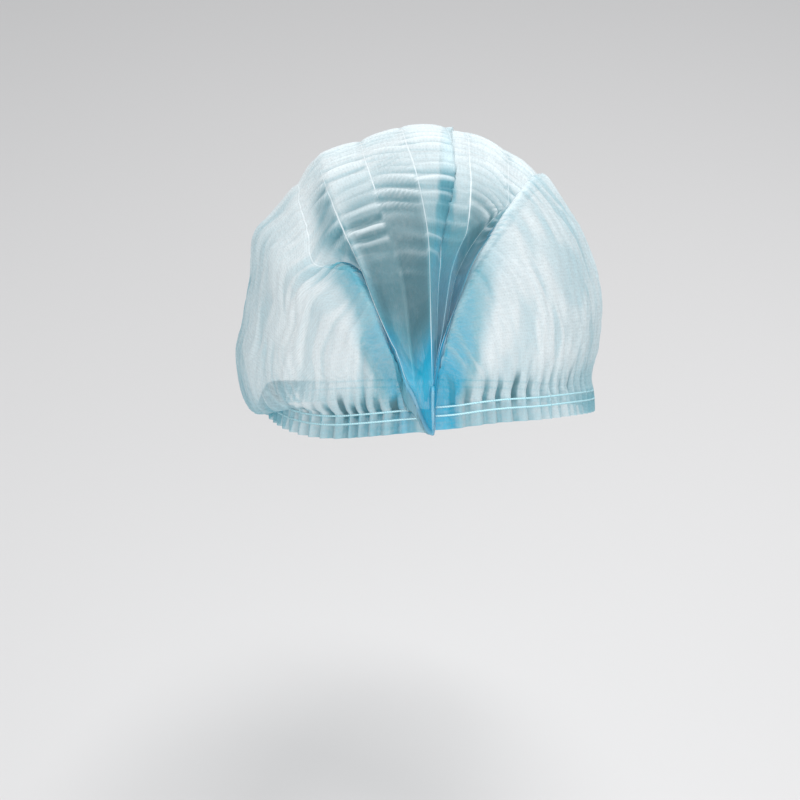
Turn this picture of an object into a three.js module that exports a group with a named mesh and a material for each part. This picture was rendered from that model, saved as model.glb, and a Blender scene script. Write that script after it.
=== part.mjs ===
// A disposable shower cap of spunbonded nonwoven, in the shape it takes on a wearer's head.
//
// The real cap is one pleated sheet. Its pleats run over the crown from a weld at the forehead
// to a weld at the nape, and two elastic threads are sewn along each of its long edges.
// Units are millimetres. With the wearer's head upright, +Z is up and the forehead faces -Y.
// The origin is the centre of the elastic loop. Shapes are worked out in the plane of the loop
// (x to the wearer's left, y towards the nape, z up through the crown), and every piece is then
// leaned back by RIM_LEAN, because the loop sits high on the forehead and low at the nape.
import * as THREE from "three";

const RIM_LEAN = THREE.MathUtils.degToRad(36);
const RIM_HALF_LENGTH = 105; // half the loop from weld to weld
const FRONT_SWELL = 7; // how far the crown stands past the loop at the forehead
const BACK_SWELL = 13; // and at the nape, where the spare sheet gathers
const DOME_POWER = 2.3; // 2 would be an ellipse seen from the side, more is fuller
const WALL = 1.2; // thickened from the real sheet's 0.1 mm
const GAP = 0.3; // between neighbouring pieces

// The crown ends in a narrow arch round each weld.
const ARCH_REACH = 0.028; // of the full section
const ARCH_RISE = 10.5; // extra height of the arch, where the pleats stand on edge
const ARCH_FADE = 0.3; // share of the full section at which that extra height is gone

// The hem is the edge of the sheet below the crown, drawn up into gathers.
const HEM_TOP = 1.6;
const HEM_BOTTOM = -10;
const HEM_FLARE = 1; // how far the free edge stands out from the elastic
const GATHERS_PER_SIDE = 34;
const GATHER_DEPTH = 1.4; // half the height of a gather at the free edge
const GATHER_STEPS = 4; // facets along each gather

const ELASTIC_RADIUS = 0.5;
const ELASTIC_HEIGHTS = { upper: -0.4, lower: -4.0 };
const ELASTIC_STEPS = 48;
const ELASTIC_SIDES = 6;

const WELD_THICKNESS = 3.2;
const WELD_ROUND = 0.6;

const STATIONS = 34; // sections along the crown from weld to weld
const SIDE_CUTS = 2; // facets between two neighbouring lines of a side panel

// The cap's outline from the front. Angles are in degrees from straight up, and radii are from
// the line between the two welds. slack is how much of the radius is a baggy swell, which is
// drawn in towards the forehead.
const OUTLINE = [
  { name: "right_edge", angle: -90, radius: 77, slack: 0 },
  { name: "right_hemline", angle: -88.8, radius: 77.3, slack: 0 },
  { name: "right_sag", angle: -86.5, radius: 88, slack: 8 },
  { name: "right_bulge", angle: -80, radius: 96, slack: 13 },
  { name: "right_side", angle: -70, radius: 96, slack: 9 },
  { name: "right_shoulder", angle: -55, radius: 105.5, slack: 5 },
  { name: "right_corner", angle: -47, radius: 116.5, slack: 5 },
  { name: "right_slope", angle: -32, radius: 122.5, slack: 3 },
  { name: "top_right", angle: -24, radius: 128.5, slack: 2 },
  { name: "top", angle: 3, radius: 131, slack: 0 },
  { name: "top_left", angle: 12, radius: 129, slack: 0 },
  { name: "left_slope", angle: 28, radius: 119.5, slack: 2 },
  { name: "left_shoulder", angle: 49.5, radius: 100, slack: 2 },
  { name: "left_side", angle: 65, radius: 90.5, slack: 3 },
  { name: "left_waist", angle: 75, radius: 83, slack: 1 },
  { name: "left_tuck", angle: 85, radius: 76.5, slack: 0 },
  { name: "left_edge", angle: 90, radius: 77, slack: 0 },
];

// One row for each line that runs over the crown from weld to weld, from the wearer's right
// edge to the left edge. front and back are its angles from straight up where it meets the
// welds, and crown is its angle over the top. fold is 1 at the bottom of an accordion fold, 0 on
// a ridge or a smooth panel and negative on a crease that stands proud. fan is 1 where the line
// lies in the sunken fan of pleats.
const LINES = [
  { name: "right_edge", front: -90, crown: -90, back: -90, fold: 0, fan: 0 },
  { name: "right_hemline", front: -88.8, crown: -88.8, back: -88.8, fold: 0, fan: 0 },
  { name: "right_sag", front: -85, crown: -86.5, back: -85, fold: 0, fan: 0 },
  { name: "right_bulge", front: -80, crown: -82, back: -80, fold: 0, fan: 0 },
  { name: "right_side", front: -74, crown: -73, back: -72, fold: 0, fan: 0 },
  { name: "right_flank", front: -67, crown: -62, back: -62, fold: 0, fan: 0 },
  { name: "right_shoulder", front: -60, crown: -53, back: -52, fold: 0, fan: 0 },
  { name: "right_corner", front: -53, crown: -44, back: -44, fold: 0, fan: 0 },
  { name: "right_crease", front: -45, crown: -32, back: -36, fold: -0.5, fan: 0 },
  { name: "right_panel", front: -37, crown: -28, back: -31, fold: 0, fan: 0 },
  { name: "fan_ridge_1", front: -30, crown: -24, back: -26, fold: 0, fan: 0 },
  { name: "fan_fold_1", front: -26, crown: -20, back: -21, fold: 1, fan: 1 },
  { name: "fan_ridge_2", front: -20, crown: -15, back: -16, fold: 0, fan: 1 },
  { name: "fan_fold_2", front: -11, crown: -10, back: -11, fold: 1, fan: 1 },
  { name: "fan_ridge_3", front: 0, crown: -5, back: -5, fold: 0, fan: 1 },
  { name: "fan_fold_3", front: 3.5, crown: -1, back: 0, fold: 1, fan: 1 },
  { name: "fan_ridge_4", front: 6.5, crown: 3, back: 5, fold: 0, fan: 1 },
  { name: "fan_fold_4", front: 8.5, crown: 9, back: 11, fold: 1, fan: 1 },
  { name: "fan_ridge_5", front: 10, crown: 14, back: 16, fold: 0, fan: 1 },
  { name: "fan_fold_5", front: 11.5, crown: 20, back: 21, fold: 1, fan: 1 },
  { name: "fan_ridge_6", front: 13.5, crown: 27, back: 26, fold: 0, fan: 0 },
  { name: "left_panel", front: 21, crown: 32, back: 31, fold: 0, fan: 0 },
  { name: "left_slope", front: 31, crown: 39, back: 38, fold: 0, fan: 0 },
  { name: "left_shoulder", front: 44, crown: 50, back: 48, fold: 0, fan: 0 },
  { name: "left_side", front: 58, crown: 64, back: 62, fold: 0, fan: 0 },
  { name: "left_waist", front: 70, crown: 74, back: 73, fold: 0, fan: 0 },
  { name: "left_tuck", front: 81, crown: 83, back: 82, fold: 0, fan: 0 },
  { name: "left_edge", front: 90, crown: 90, back: 90, fold: 0, fan: 0 },
];
const FIRST_RIDGE = LINES.findIndex((line) => line.name === "fan_ridge_1");
const LAST_RIDGE = LINES.findIndex((line) => line.name === "fan_ridge_6");

// How deep the folds are and how far the whole fan is sunk behind the side panels. place runs
// from 0 at the forehead weld to 1 at the nape weld.
const FOLDS = [
  { place: 0.0, depth: 0, sunk: 0 },
  { place: 0.05, depth: 1.5, sunk: 2 },
  { place: 0.14, depth: 5, sunk: 6 },
  { place: 0.26, depth: 5.5, sunk: 4 },
  { place: 0.5, depth: 3.5, sunk: 0 },
  { place: 0.74, depth: 5, sunk: 2 },
  { place: 0.86, depth: 5, sunk: 5 },
  { place: 0.95, depth: 1.5, sunk: 2 },
  { place: 1.0, depth: 0, sunk: 0 },
];

// How far the elastic rides above the plane of the loop, along each side.
const RIM_LIFTS = [
  { place: 0.0, right: 0.5, left: 0.5 },
  { place: 0.1, right: -2.5, left: 4 },
  { place: 0.18, right: -4.5, left: 4 },
  { place: 0.27, right: -3.5, left: 4.5 },
  { place: 0.36, right: 0, left: 4 },
  { place: 0.44, right: 3, left: 3 },
  { place: 0.55, right: 3, left: 2 },
  { place: 0.75, right: 0, left: 0 },
  { place: 1.0, right: 0, left: 0 },
];

// The spare sheet above the wearer's right ear hangs lower than the elastic.
const SAG_DROP = 14;
const SAG_ANGLE = -86; // degrees from straight up
const SAG_SPREAD = 4.5;
const SAG_PLACES = { start: 0.22, full: 0.42, fading: 0.6, end: 0.8 };

// The size of the egg that the folds are sunk square to.
const EGG = { x: 90, y: 115, z: 130 };

const mix = (a, b, share) => a + (b - a) * share;
const smooth = (low, high, value) => THREE.MathUtils.smoothstep(value, low, high);
const range = (count) => Array.from({ length: count }, (_, i) => i);

// The value of a column of a table where its key column has the given value.
function readTable(table, key, at, column) {
  const next = Math.max(1, table.findIndex((row) => row[key] >= at));
  const [a, b] = [table[next - 1], table[next]];
  const share = THREE.MathUtils.clamp((at - a[key]) / (b[key] - a[key]), 0, 1);
  return mix(a[column], b[column], share);
}

// The place of the crown's first section, where the dome has shrunk to the arch at the weld.
const FIRST_PLACE = Math.asin(ARCH_REACH ** (DOME_POWER / 2)) / Math.PI;
const placeOf = (step, steps) => mix(FIRST_PLACE, 1 - FIRST_PLACE, step / steps);

// How far along the cap a section stands, and its size beside the full one.
function spine(place) {
  const turn = place * Math.PI;
  const power = 2 / DOME_POWER;
  return {
    along: -Math.sign(Math.cos(turn)) * Math.abs(Math.cos(turn)) ** power,
    reach: Math.sin(turn) ** power,
  };
}

function rimLift(angle, place) {
  const lift = readTable(RIM_LIFTS, "place", place, angle < 0 ? "right" : "left");
  return lift * smooth(25, 90, Math.abs(angle));
}

function sag(angle, place) {
  const { start, full, fading, end } = SAG_PLACES;
  const along = smooth(start, full, place) * (1 - smooth(fading, end, place));
  const across = Math.exp(-(((angle - SAG_ANGLE) / SAG_SPREAD) ** 2));
  return SAG_DROP * along * across * smooth(88.8, 87.5, Math.abs(angle));
}

// A point of the unfolded dome, from its angle in the section and its place along the cap.
function domePoint(angle, place) {
  const { along, reach } = spine(place);
  const slack = readTable(OUTLINE, "angle", angle, "slack") * (1 - smooth(0.1, 0.42, place));
  const radius = reach * (readTable(OUTLINE, "angle", angle, "radius") - slack);
  const radians = THREE.MathUtils.degToRad(angle);
  const swell = (along < 0 ? FRONT_SWELL : BACK_SWELL) * Math.max(0, Math.cos(radians));
  const rise = ARCH_RISE * (1 - smooth(0, ARCH_FADE, reach)) * Math.cos(radians);
  return new THREE.Vector3(
    radius * Math.sin(radians),
    along * (RIM_HALF_LENGTH + swell),
    radius * Math.cos(radians) + rise + rimLift(angle, place) - sag(angle, place),
  );
}

// A point on one of the crown's lines, sunk by its fold and kept clear of the hem.
function linePoint(line, place) {
  const overTop = smooth(0, 1, 1 - Math.abs(2 * place - 1));
  const angle = mix(place < 0.5 ? line.front : line.back, line.crown, overTop);
  const point = domePoint(angle, place);
  point.z += (HEM_TOP + GAP) * smooth(70, 90, Math.abs(angle));
  const depth = line.fold * readTable(FOLDS, "place", place, "depth");
  const sunk = line.fan * readTable(FOLDS, "place", place, "sunk");
  const outwards = new THREE.Vector3(point.x / EGG.x, point.y / EGG.y, point.z / EGG.z);
  outwards.divide(new THREE.Vector3(EGG.x, EGG.y, EGG.z)).normalize();
  return point.addScaledVector(outwards, -depth - sunk);
}

// One section of the crown: its side panels are smooth curves, and its fan has sharp folds.
function crownSection(place) {
  const points = LINES.map((line) => linePoint(line, place));
  const curved = (run) => {
    const cuts = (run.length - 1) * SIDE_CUTS;
    const curve = new THREE.CatmullRomCurve3(run, false, "centripetal");
    return range(cuts + 1).map((i) => curve.getPoint(i / cuts));
  };
  return [
    ...curved(points.slice(0, FIRST_RIDGE + 1)),
    ...points.slice(FIRST_RIDGE + 1, LAST_RIDGE),
    ...curved(points.slice(LAST_RIDGE)),
  ];
}

// The inner face of a wall: each point of the outer grid moved inwards, further at a crease, so
// that the walls on both sides of it keep their thickness.
function innerGrid(rows, thickness) {
  const sharpest = 0.45; // how far apart two walls' directions can be before this stops
  const cellDirections = rows.slice(1).map((row, j) =>
    row.slice(1).map((corner, i) => {
      const along = corner.clone().sub(rows[j][i]);
      const across = row[i].clone().sub(rows[j][i + 1]);
      return along.cross(across).normalize();
    }),
  );
  return rows.map((row, j) =>
    row.map((point, i) => {
      const around = [
        cellDirections[j - 1]?.[i - 1],
        cellDirections[j - 1]?.[i],
        cellDirections[j]?.[i - 1],
        cellDirections[j]?.[i],
      ].filter(Boolean);
      const outwards = new THREE.Vector3();
      around.forEach((direction) => outwards.add(direction));
      outwards.normalize();
      const spread = Math.min(...around.map((direction) => direction.dot(outwards)));
      return point.clone().addScaledVector(outwards, -thickness / Math.max(spread, sharpest));
    }),
  );
}

// A closed wall whose outer face runs through a grid of points. Its rows follow each other
// anticlockwise round the points' own direction, seen from outside.
function wall(rows, thickness) {
  const [height, width] = [rows.length, rows[0].length];
  const outer = (j, i) => j * width + i;
  const inner = (j, i) => (height + j) * width + i;
  const faces = [];
  const quad = (a, b, c, d) => faces.push(a, b, c, a, c, d);
  for (const j of range(height - 1)) {
    for (const i of range(width - 1)) {
      quad(outer(j, i), outer(j, i + 1), outer(j + 1, i + 1), outer(j + 1, i));
      quad(inner(j, i), inner(j + 1, i), inner(j + 1, i + 1), inner(j, i + 1));
    }
    const last = width - 1;
    quad(outer(j, 0), outer(j + 1, 0), inner(j + 1, 0), inner(j, 0));
    quad(outer(j, last), inner(j, last), inner(j + 1, last), outer(j + 1, last));
  }
  const top = height - 1;
  for (const i of range(width - 1)) {
    quad(outer(0, i), inner(0, i), inner(0, i + 1), outer(0, i + 1));
    quad(outer(top, i), outer(top, i + 1), inner(top, i + 1), inner(top, i));
  }
  const points = [...rows.flat(), ...innerGrid(rows, thickness).flat()];
  return new THREE.BufferGeometry().setFromPoints(points).setIndex(faces);
}

function crown() {
  return wall(range(STATIONS + 1).map((j) => crownSection(placeOf(j, STATIONS))), WALL);
}

// A point by the sheet's edge: side is -1 on the wearer's right and 1 on the left, height is
// measured from the plane of the elastic, and out is a step away from the head.
function edgePoint(side, place, height, out) {
  const step = 0.002;
  const [before, point, after] = [-step, 0, step].map((d) => domePoint(90 * side, place + d));
  const forwards = after.sub(before);
  const away = new THREE.Vector3(forwards.y, -forwards.x, 0).normalize();
  return point.addScaledVector(away, side * out).add(new THREE.Vector3(0, 0, height));
}

// How far down the hem a height is, as a share.
const dropAt = (height) => (HEM_TOP - height) / (HEM_TOP - HEM_BOTTOM);

function hem(side) {
  const steps = GATHERS_PER_SIDE * GATHER_STEPS;
  const row = (height) =>
    range(steps + 1).map((i) => {
      const beyondEnd = Math.min(1, Math.min(i, steps - i) / GATHER_STEPS);
      const gather = GATHER_DEPTH * beyondEnd * Math.sin(((i + 0.5) / GATHER_STEPS) * 2 * Math.PI);
      const out = dropAt(height) * (HEM_FLARE + gather);
      return edgePoint(side, placeOf(i, steps), height, out);
    });
  const rows = [row(HEM_TOP), row(mix(HEM_TOP, HEM_BOTTOM, 0.5)), row(HEM_BOTTOM)];
  return wall(side < 0 ? rows : rows.reverse(), WALL);
}

function elastic(side, height) {
  const out = dropAt(height) * (HEM_FLARE + GATHER_DEPTH) + GAP + ELASTIC_RADIUS;
  const stops = ELASTIC_STEPS / 2;
  const route = range(stops + 1).map((i) => edgePoint(side, placeOf(i, stops), height, out));
  const corners = range(ELASTIC_SIDES).map((i) => {
    const angle = (i / ELASTIC_SIDES) * 2 * Math.PI;
    return new THREE.Vector2(Math.cos(angle), Math.sin(angle)).multiplyScalar(ELASTIC_RADIUS);
  });
  return new THREE.ExtrudeGeometry(new THREE.Shape(corners), {
    steps: ELASTIC_STEPS,
    extrudePath: new THREE.CatmullRomCurve3(route),
    bevelEnabled: false,
  });
}

// The outline of a weld from the side. up is the height above the loop. swell is the share of
// the crown's swell past the loop that the outline follows there, and proud is its distance
// past that.
const WELD_OUTLINE = [
  { up: -9, swell: 0, proud: -3 },
  { up: -12, swell: 0, proud: 2 },
  { up: -10, swell: 0, proud: 6 },
  { up: 0, swell: 0.5, proud: 8 },
  { up: 8, swell: 1, proud: 7 },
  { up: 11, swell: 1, proud: 3 },
  { up: 8, swell: 0, proud: -1 },
];

// A fin of fused pleats on the centre line. end is -1 at the forehead and 1 at the nape.
function weld(end) {
  const crownSwell = end < 0 ? FRONT_SWELL : BACK_SWELL;
  const outline = WELD_OUTLINE.map(
    ({ up, swell, proud }) =>
      new THREE.Vector2(end * (RIM_HALF_LENGTH + swell * crownSwell + proud), up),
  );
  const fin = new THREE.ExtrudeGeometry(new THREE.Shape(outline), {
    depth: WELD_THICKNESS - 2 * WELD_ROUND,
    bevelThickness: WELD_ROUND,
    bevelSize: WELD_ROUND,
    bevelOffset: -WELD_ROUND,
    bevelSegments: 2,
  });
  fin.translate(0, 0, WELD_ROUND - WELD_THICKNESS / 2);
  // The outline's own axes become y and z, and the thickness lies along x.
  return fin.applyMatrix4(
    new THREE.Matrix4().makeBasis(
      new THREE.Vector3(0, 1, 0),
      new THREE.Vector3(0, 0, 1),
      new THREE.Vector3(1, 0, 0),
    ),
  );
}

const COLOURS = { sheet: 0xbfe3ee, elastic: 0xdff3f7, weld: 0x4fb4da };

const cap = new THREE.Group();
function add(name, geometry, color) {
  geometry.rotateX(-RIM_LEAN);
  geometry.computeVertexNormals();
  const mesh = new THREE.Mesh(geometry, new THREE.MeshStandardMaterial({ color }));
  mesh.name = name;
  cap.add(mesh);
}

add("crown", crown(), COLOURS.sheet);
for (const [hand, side] of [["right", -1], ["left", 1]]) {
  add(`hem_${hand}`, hem(side), COLOURS.sheet);
  for (const [level, height] of Object.entries(ELASTIC_HEIGHTS)) {
    add(`elastic_${hand}_${level}`, elastic(side, height), COLOURS.elastic);
  }
}
add("front_weld", weld(-1), COLOURS.weld);
add("back_weld", weld(1), COLOURS.weld);

export default cap;
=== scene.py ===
"""A disposable shower cap of spunbonded nonwoven, worn but with no wearer.

The cap is one accordion-pleated sheet. Its pleats run from a weld at the forehead to a weld at
the nape, and two elastic threads are sewn along each long edge. The sheet is laid out in its
own flat sizes, and gathered, folded and wrinkled on to the form that it takes on a head.

Sizes are in millimetres in the loop's own frame (x to the wearer's left, y to the nape, z up
through the crown) until a piece is finished, and in metres in the upright frame after that.
"""

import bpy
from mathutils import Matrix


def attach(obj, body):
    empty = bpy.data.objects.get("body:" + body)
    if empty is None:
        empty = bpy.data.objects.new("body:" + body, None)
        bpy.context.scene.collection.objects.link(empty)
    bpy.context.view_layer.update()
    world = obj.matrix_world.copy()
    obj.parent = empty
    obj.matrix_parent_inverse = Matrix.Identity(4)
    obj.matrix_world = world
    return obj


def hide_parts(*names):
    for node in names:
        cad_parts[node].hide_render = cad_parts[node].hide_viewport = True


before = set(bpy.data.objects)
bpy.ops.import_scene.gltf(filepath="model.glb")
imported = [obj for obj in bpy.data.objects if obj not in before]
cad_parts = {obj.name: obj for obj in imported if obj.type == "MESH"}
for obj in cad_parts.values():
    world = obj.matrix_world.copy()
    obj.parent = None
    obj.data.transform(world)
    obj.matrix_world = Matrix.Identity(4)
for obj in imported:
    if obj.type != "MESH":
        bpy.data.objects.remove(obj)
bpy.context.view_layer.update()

import logging
import math
from collections.abc import Callable
from dataclasses import dataclass, field
from enum import Enum
from functools import partial

import bmesh
import bpy
import numpy as np
from mathutils import Vector

log = logging.getLogger("cap")
logging.basicConfig(level=logging.INFO, format="%(message)s")

MM = 0.001
SEED = 11
METRE_BANDS = 0.314  # the scale at which a Wave texture has one band to a metre
FIRST_COLOUR, SECOND_COLOUR, MIXED_COLOUR = 6, 7, 2  # a Mix node's sockets for colours
Table = tuple[tuple[float, float], ...]  # pairs of a place along the cap and a value there
AddNode = Callable[..., bpy.types.Node]


class Side(Enum):
    """The wearer's side that an edge of the sheet lies on."""

    RIGHT = -1
    LEFT = 1


class End(Enum):
    """An end of the pleats."""

    FRONT = -1
    BACK = 1


def srgb(code: str) -> tuple[float, float, float, float]:
    """Turns a colour code into linear light.

    Args:
        code: The colour as six hexadecimal digits of sRGB.

    Returns:
        Linear red, green and blue, and an alpha of 1.
    """
    parts = [int(code[i : i + 2], 16) / 255 for i in (0, 2, 4)]
    linear = [p / 12.92 if p <= 0.04045 else ((p + 0.055) / 1.055) ** 2.4 for p in parts]
    return (*linear, 1.0)


def smooth(low: float, high: float, value: np.ndarray) -> np.ndarray:
    """A smooth step from 0 at low to 1 at high.

    Args:
        low: Where the step starts. It may be above high, for a falling step.
        high: Where it ends.
        value: The values to step.

    Returns:
        The step's height at each value.
    """
    share = np.clip((np.asarray(value, float) - low) / (high - low), 0, 1)
    return share * share * (3 - 2 * share)


def mix(a: np.ndarray, b: np.ndarray, share: np.ndarray) -> np.ndarray:
    """The mix of a and b with the given share of b."""
    return a + (b - a) * share


@dataclass(frozen=True)
class Span:
    """A stretch of a scale, which fades in from start to full and out from fading to end."""

    start: float | np.ndarray
    full: float | np.ndarray
    fading: float | np.ndarray
    end: float | np.ndarray

    def __call__(self, value: np.ndarray) -> np.ndarray:
        """How fully values lie in the stretch, from 0 to 1."""
        return smooth(self.start, self.full, value) * smooth(self.end, self.fading, value)


def finished_mesh(name: str, bm: bmesh.types.BMesh) -> bpy.types.Object:
    """Puts a finished bmesh into a new smooth object at the origin.

    Args:
        name: The object's name.
        bm: The mesh, which is freed.

    Returns:
        The object.
    """
    for face in bm.faces:
        face.smooth = True
    mesh = bpy.data.meshes.new(name)
    bm.to_mesh(mesh)
    bm.free()
    made = bpy.data.objects.new(name, mesh)
    bpy.context.collection.objects.link(made)
    return made


def blurred(table: np.ndarray, width: int) -> np.ndarray:
    """Averages each row over a number of neighbours either way, with its ends kept."""
    padded = np.pad(table, ((0, 0), (width, width)), mode="reflect", reflect_type="odd")
    sums = np.cumsum(np.pad(padded, ((0, 0), (1, 0))), axis=1)
    return (sums[:, 2 * width + 1 :] - sums[:, : -2 * width - 1]) / (2 * width + 1)


@dataclass(frozen=True)
class OutlinePoint:
    """A point of the cap's outline from the front.

    Attributes:
        angle: Its angle in degrees from straight up.
        radius: Its distance from the line between the welds.
        slack: How much of that is a baggy swell, which is drawn in towards the forehead.
    """

    angle: float
    radius: float
    slack: float = 0


@dataclass(frozen=True)
class RimLift:
    """How far the elastic rides above its plane on each side, at a place along the cap."""

    place: float
    right: float
    left: float


@dataclass
class Dome:
    """The smooth form that the mountain folds of the sheet lie on.

    A place runs from 0 at the forehead weld to 1 at the nape weld, and an angle is in degrees
    from straight up, below 0 on the wearer's right.

    Attributes:
        lean: How far the loop leans back.
        half_length: Half the loop from weld to weld.
        front_swell: How far the crown stands past the loop at the forehead.
        back_swell: The same at the nape.
        power: How full the cap is from the side. An ellipse has 2.
        arch_rise: The extra height of the narrow arch at a weld.
        arch_fade: The share of the full section at which that is gone.
        sag_drop: How far the spare sheet over the right ear hangs down.
        sag_angle: Where that is, round the section.
        sag_spread: How far round the section it reaches.
        sag_places: Where it is along the cap.
        slack_gone: Places at which the bagginess is full and gone.
        egg: The egg that the folds are square to.
        rounding: How far the outline's corners are rounded, in degrees.
        lift_rounding: How far along the cap the steps between its lifts are rounded.
        outline: Its outline from the front, from the right elastic to the left.
        lifts: How far the elastic rides above its plane, from the forehead to the nape.
    """

    lean: float = math.radians(36)
    half_length: float = 105
    front_swell: float = 7
    back_swell: float = 13
    power: float = 2.3
    arch_rise: float = 10.5
    arch_fade: float = 0.3
    sag_drop: float = 14
    sag_angle: float = -86
    sag_spread: float = 4.5
    sag_places: Span = Span(0.22, 0.42, 0.6, 0.8)
    slack_gone: tuple[float, float] = (0.42, 0.1)
    egg: tuple[float, float, float] = (90, 115, 130)
    rounding: float = 2.5
    lift_rounding: float = 0.04
    outline: tuple[OutlinePoint, ...] = (
        OutlinePoint(-90, 77),
        OutlinePoint(-88.8, 77.3),
        OutlinePoint(-86.5, 88, slack=8),
        OutlinePoint(-80, 96, slack=13),
        OutlinePoint(-70, 96, slack=9),
        OutlinePoint(-55, 104.5, slack=5),
        OutlinePoint(-47, 115, slack=5),
        OutlinePoint(-40, 114, slack=4),
        OutlinePoint(-32, 119, slack=3),
        OutlinePoint(-24, 127, slack=2),
        OutlinePoint(3, 131),
        OutlinePoint(12, 130.5),
        OutlinePoint(20, 126),
        OutlinePoint(28, 119.5, slack=2),
        OutlinePoint(49.5, 100, slack=2),
        OutlinePoint(65, 90.5, slack=3),
        OutlinePoint(75, 83, slack=1),
        OutlinePoint(85, 76.5),
        OutlinePoint(90, 77),
    )
    lifts: tuple[RimLift, ...] = (
        RimLift(0.0, 0.5, 0.5),
        RimLift(0.1, -2.5, 4),
        RimLift(0.18, -4.5, 4),
        RimLift(0.27, -3.5, 4.5),
        RimLift(0.36, 0, 4),
        RimLift(0.44, 3, 3),
        RimLift(0.55, 3, 2),
        RimLift(0.75, 0, 0),
        RimLift(1.0, 0, 0),
    )

    def __post_init__(self) -> None:
        """Measures the outline, so that arcs can be turned into angles."""
        angles = np.linspace(-90, 90, 721)
        radius = self._column("radius", angles)
        radians = np.radians(angles)
        x, z = radius * np.sin(radians), radius * np.cos(radians)
        steps = np.hypot(np.diff(x), np.diff(z))
        self._angles = angles
        self._arcs = np.concatenate([[0], np.cumsum(steps)])

    @property
    def girth(self) -> float:
        """The length of the full outline from elastic to elastic."""
        return float(self._arcs[-1])

    def _column(self, name: str, angle: np.ndarray) -> np.ndarray:
        """Reads a column of the outline, rounded a little between its points.

        Args:
            name: radius or slack.
            angle: Where to read it.

        Returns:
            The values.
        """
        keys = [point.angle for point in self.outline]
        values = [getattr(point, name) for point in self.outline]
        rounding = self.rounding * smooth(90, 84, np.abs(angle))
        steps = np.linspace(-1, 1, 5)
        return sum(np.interp(angle + step * rounding, keys, values) for step in steps) / len(steps)

    def angle_at(self, share: np.ndarray) -> np.ndarray:
        """The angle at a share of the way round the outline from the right elastic."""
        return np.interp(share * self.girth, self._arcs, self._angles)

    def share_at(self, angle: np.ndarray) -> np.ndarray:
        """The share of the way round the outline at an angle."""
        return np.interp(angle, self._angles, self._arcs) / self.girth

    def spine(self, place: np.ndarray) -> tuple[np.ndarray, np.ndarray]:
        """Where a section stands along the cap, and its size beside the full one."""
        turn = np.pi * np.clip(place, 0, 1)
        power = 2 / self.power
        along = -np.sign(np.cos(turn)) * np.abs(np.cos(turn)) ** power
        return along, np.maximum(np.sin(turn), 0) ** power

    def section_girth(self, place: np.ndarray) -> np.ndarray:
        """The length round the section at a place."""
        return np.hypot(self.spine(place)[1] * self.girth, 2 * self.arch_rise)

    def rim_lift(self, angle: np.ndarray, place: np.ndarray) -> np.ndarray:
        """How far the elastic's ride lifts a point."""
        places = [row.place for row in self.lifts]
        steps = self.lift_rounding * np.linspace(-1, 1, 9)

        def ride(column: list[float]) -> np.ndarray:
            return sum(np.interp(place + step, places, column) for step in steps) / len(steps)

        right = ride([row.right for row in self.lifts])
        left = ride([row.left for row in self.lifts])
        return np.where(angle < 0, right, left) * smooth(25, 90, np.abs(angle))

    def sag(self, angle: np.ndarray, place: np.ndarray) -> np.ndarray:
        """How far the spare sheet over the right ear hangs down."""
        across = np.exp(-(((angle - self.sag_angle) / self.sag_spread) ** 2))
        clear_of_elastic = smooth(88.8, 87.5, np.abs(angle))
        return self.sag_drop * self.sag_places(place) * across * clear_of_elastic

    def point(self, angle: np.ndarray, place: np.ndarray) -> np.ndarray:
        """A point of the form.

        Args:
            angle: Its angles.
            place: Its places along the cap, of the same shape.

        Returns:
            The points, with x, y and z on a last axis.
        """
        along, reach = self.spine(place)
        slack = self._column("slack", angle) * smooth(*self.slack_gone, place)
        radius = reach * (self._column("radius", angle) - slack)
        radians = np.radians(angle)
        up = np.maximum(np.cos(radians), 0)
        swell = np.where(along < 0, self.front_swell, self.back_swell) * up
        rise = self.arch_rise * smooth(self.arch_fade, 0, reach) * up
        lift = self.rim_lift(angle, place) - self.sag(angle, place)
        return np.stack(
            [
                radius * np.sin(radians),
                along * (self.half_length + swell),
                radius * np.cos(radians) + rise + lift,
            ],
            axis=-1,
        )

    def outwards(self, points: np.ndarray, place: np.ndarray) -> np.ndarray:
        """The directions that the mountain folds point in: up at a weld, and square to the form
        away from it."""
        egg = np.array(self.egg) ** 2
        square = points / egg
        square /= np.linalg.norm(square, axis=-1, keepdims=True)
        away = smooth(0.02, 0.15, np.minimum(place, 1 - place))[..., None]
        direction = mix(np.array([0.0, 0.0, 1.0]), square, away)
        return direction / np.linalg.norm(direction, axis=-1, keepdims=True)

    def upright(self, points: np.ndarray) -> np.ndarray:
        """Leans points back from the loop's plane into the upright frame, and into metres."""
        cos, sin = math.cos(self.lean), math.sin(self.lean)
        x, y, z = np.moveaxis(points, -1, 0)
        return np.stack([x, y * cos + z * sin, -y * sin + z * cos], axis=-1) * MM


@dataclass(frozen=True)
class Crease:
    """A pressed crease that shows in or beside the fan of pleats.

    Attributes:
        flat: Its distance across the flat sheet.
        angles: Its angle from straight up at places along the cap, as pairs of both.
        rounding: How far along the cap each corner of that table is rounded.
    """

    flat: float
    angles: Table
    rounding: float = 0.02

    def past(self, w: np.ndarray, by: float = 4) -> np.ndarray:
        """How far flat places are past it: 0 if they are short of it by that much, and 1 if past."""
        return smooth(self.flat - by, self.flat + by, w)

    def angle(self, place: np.ndarray) -> np.ndarray:
        """Its angle at places along the cap."""
        keys, values = zip(*self.angles)
        steps = self.rounding * np.linspace(-1, 1, 5)
        return sum(np.interp(place + step, keys, values) for step in steps) / len(steps)


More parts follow.
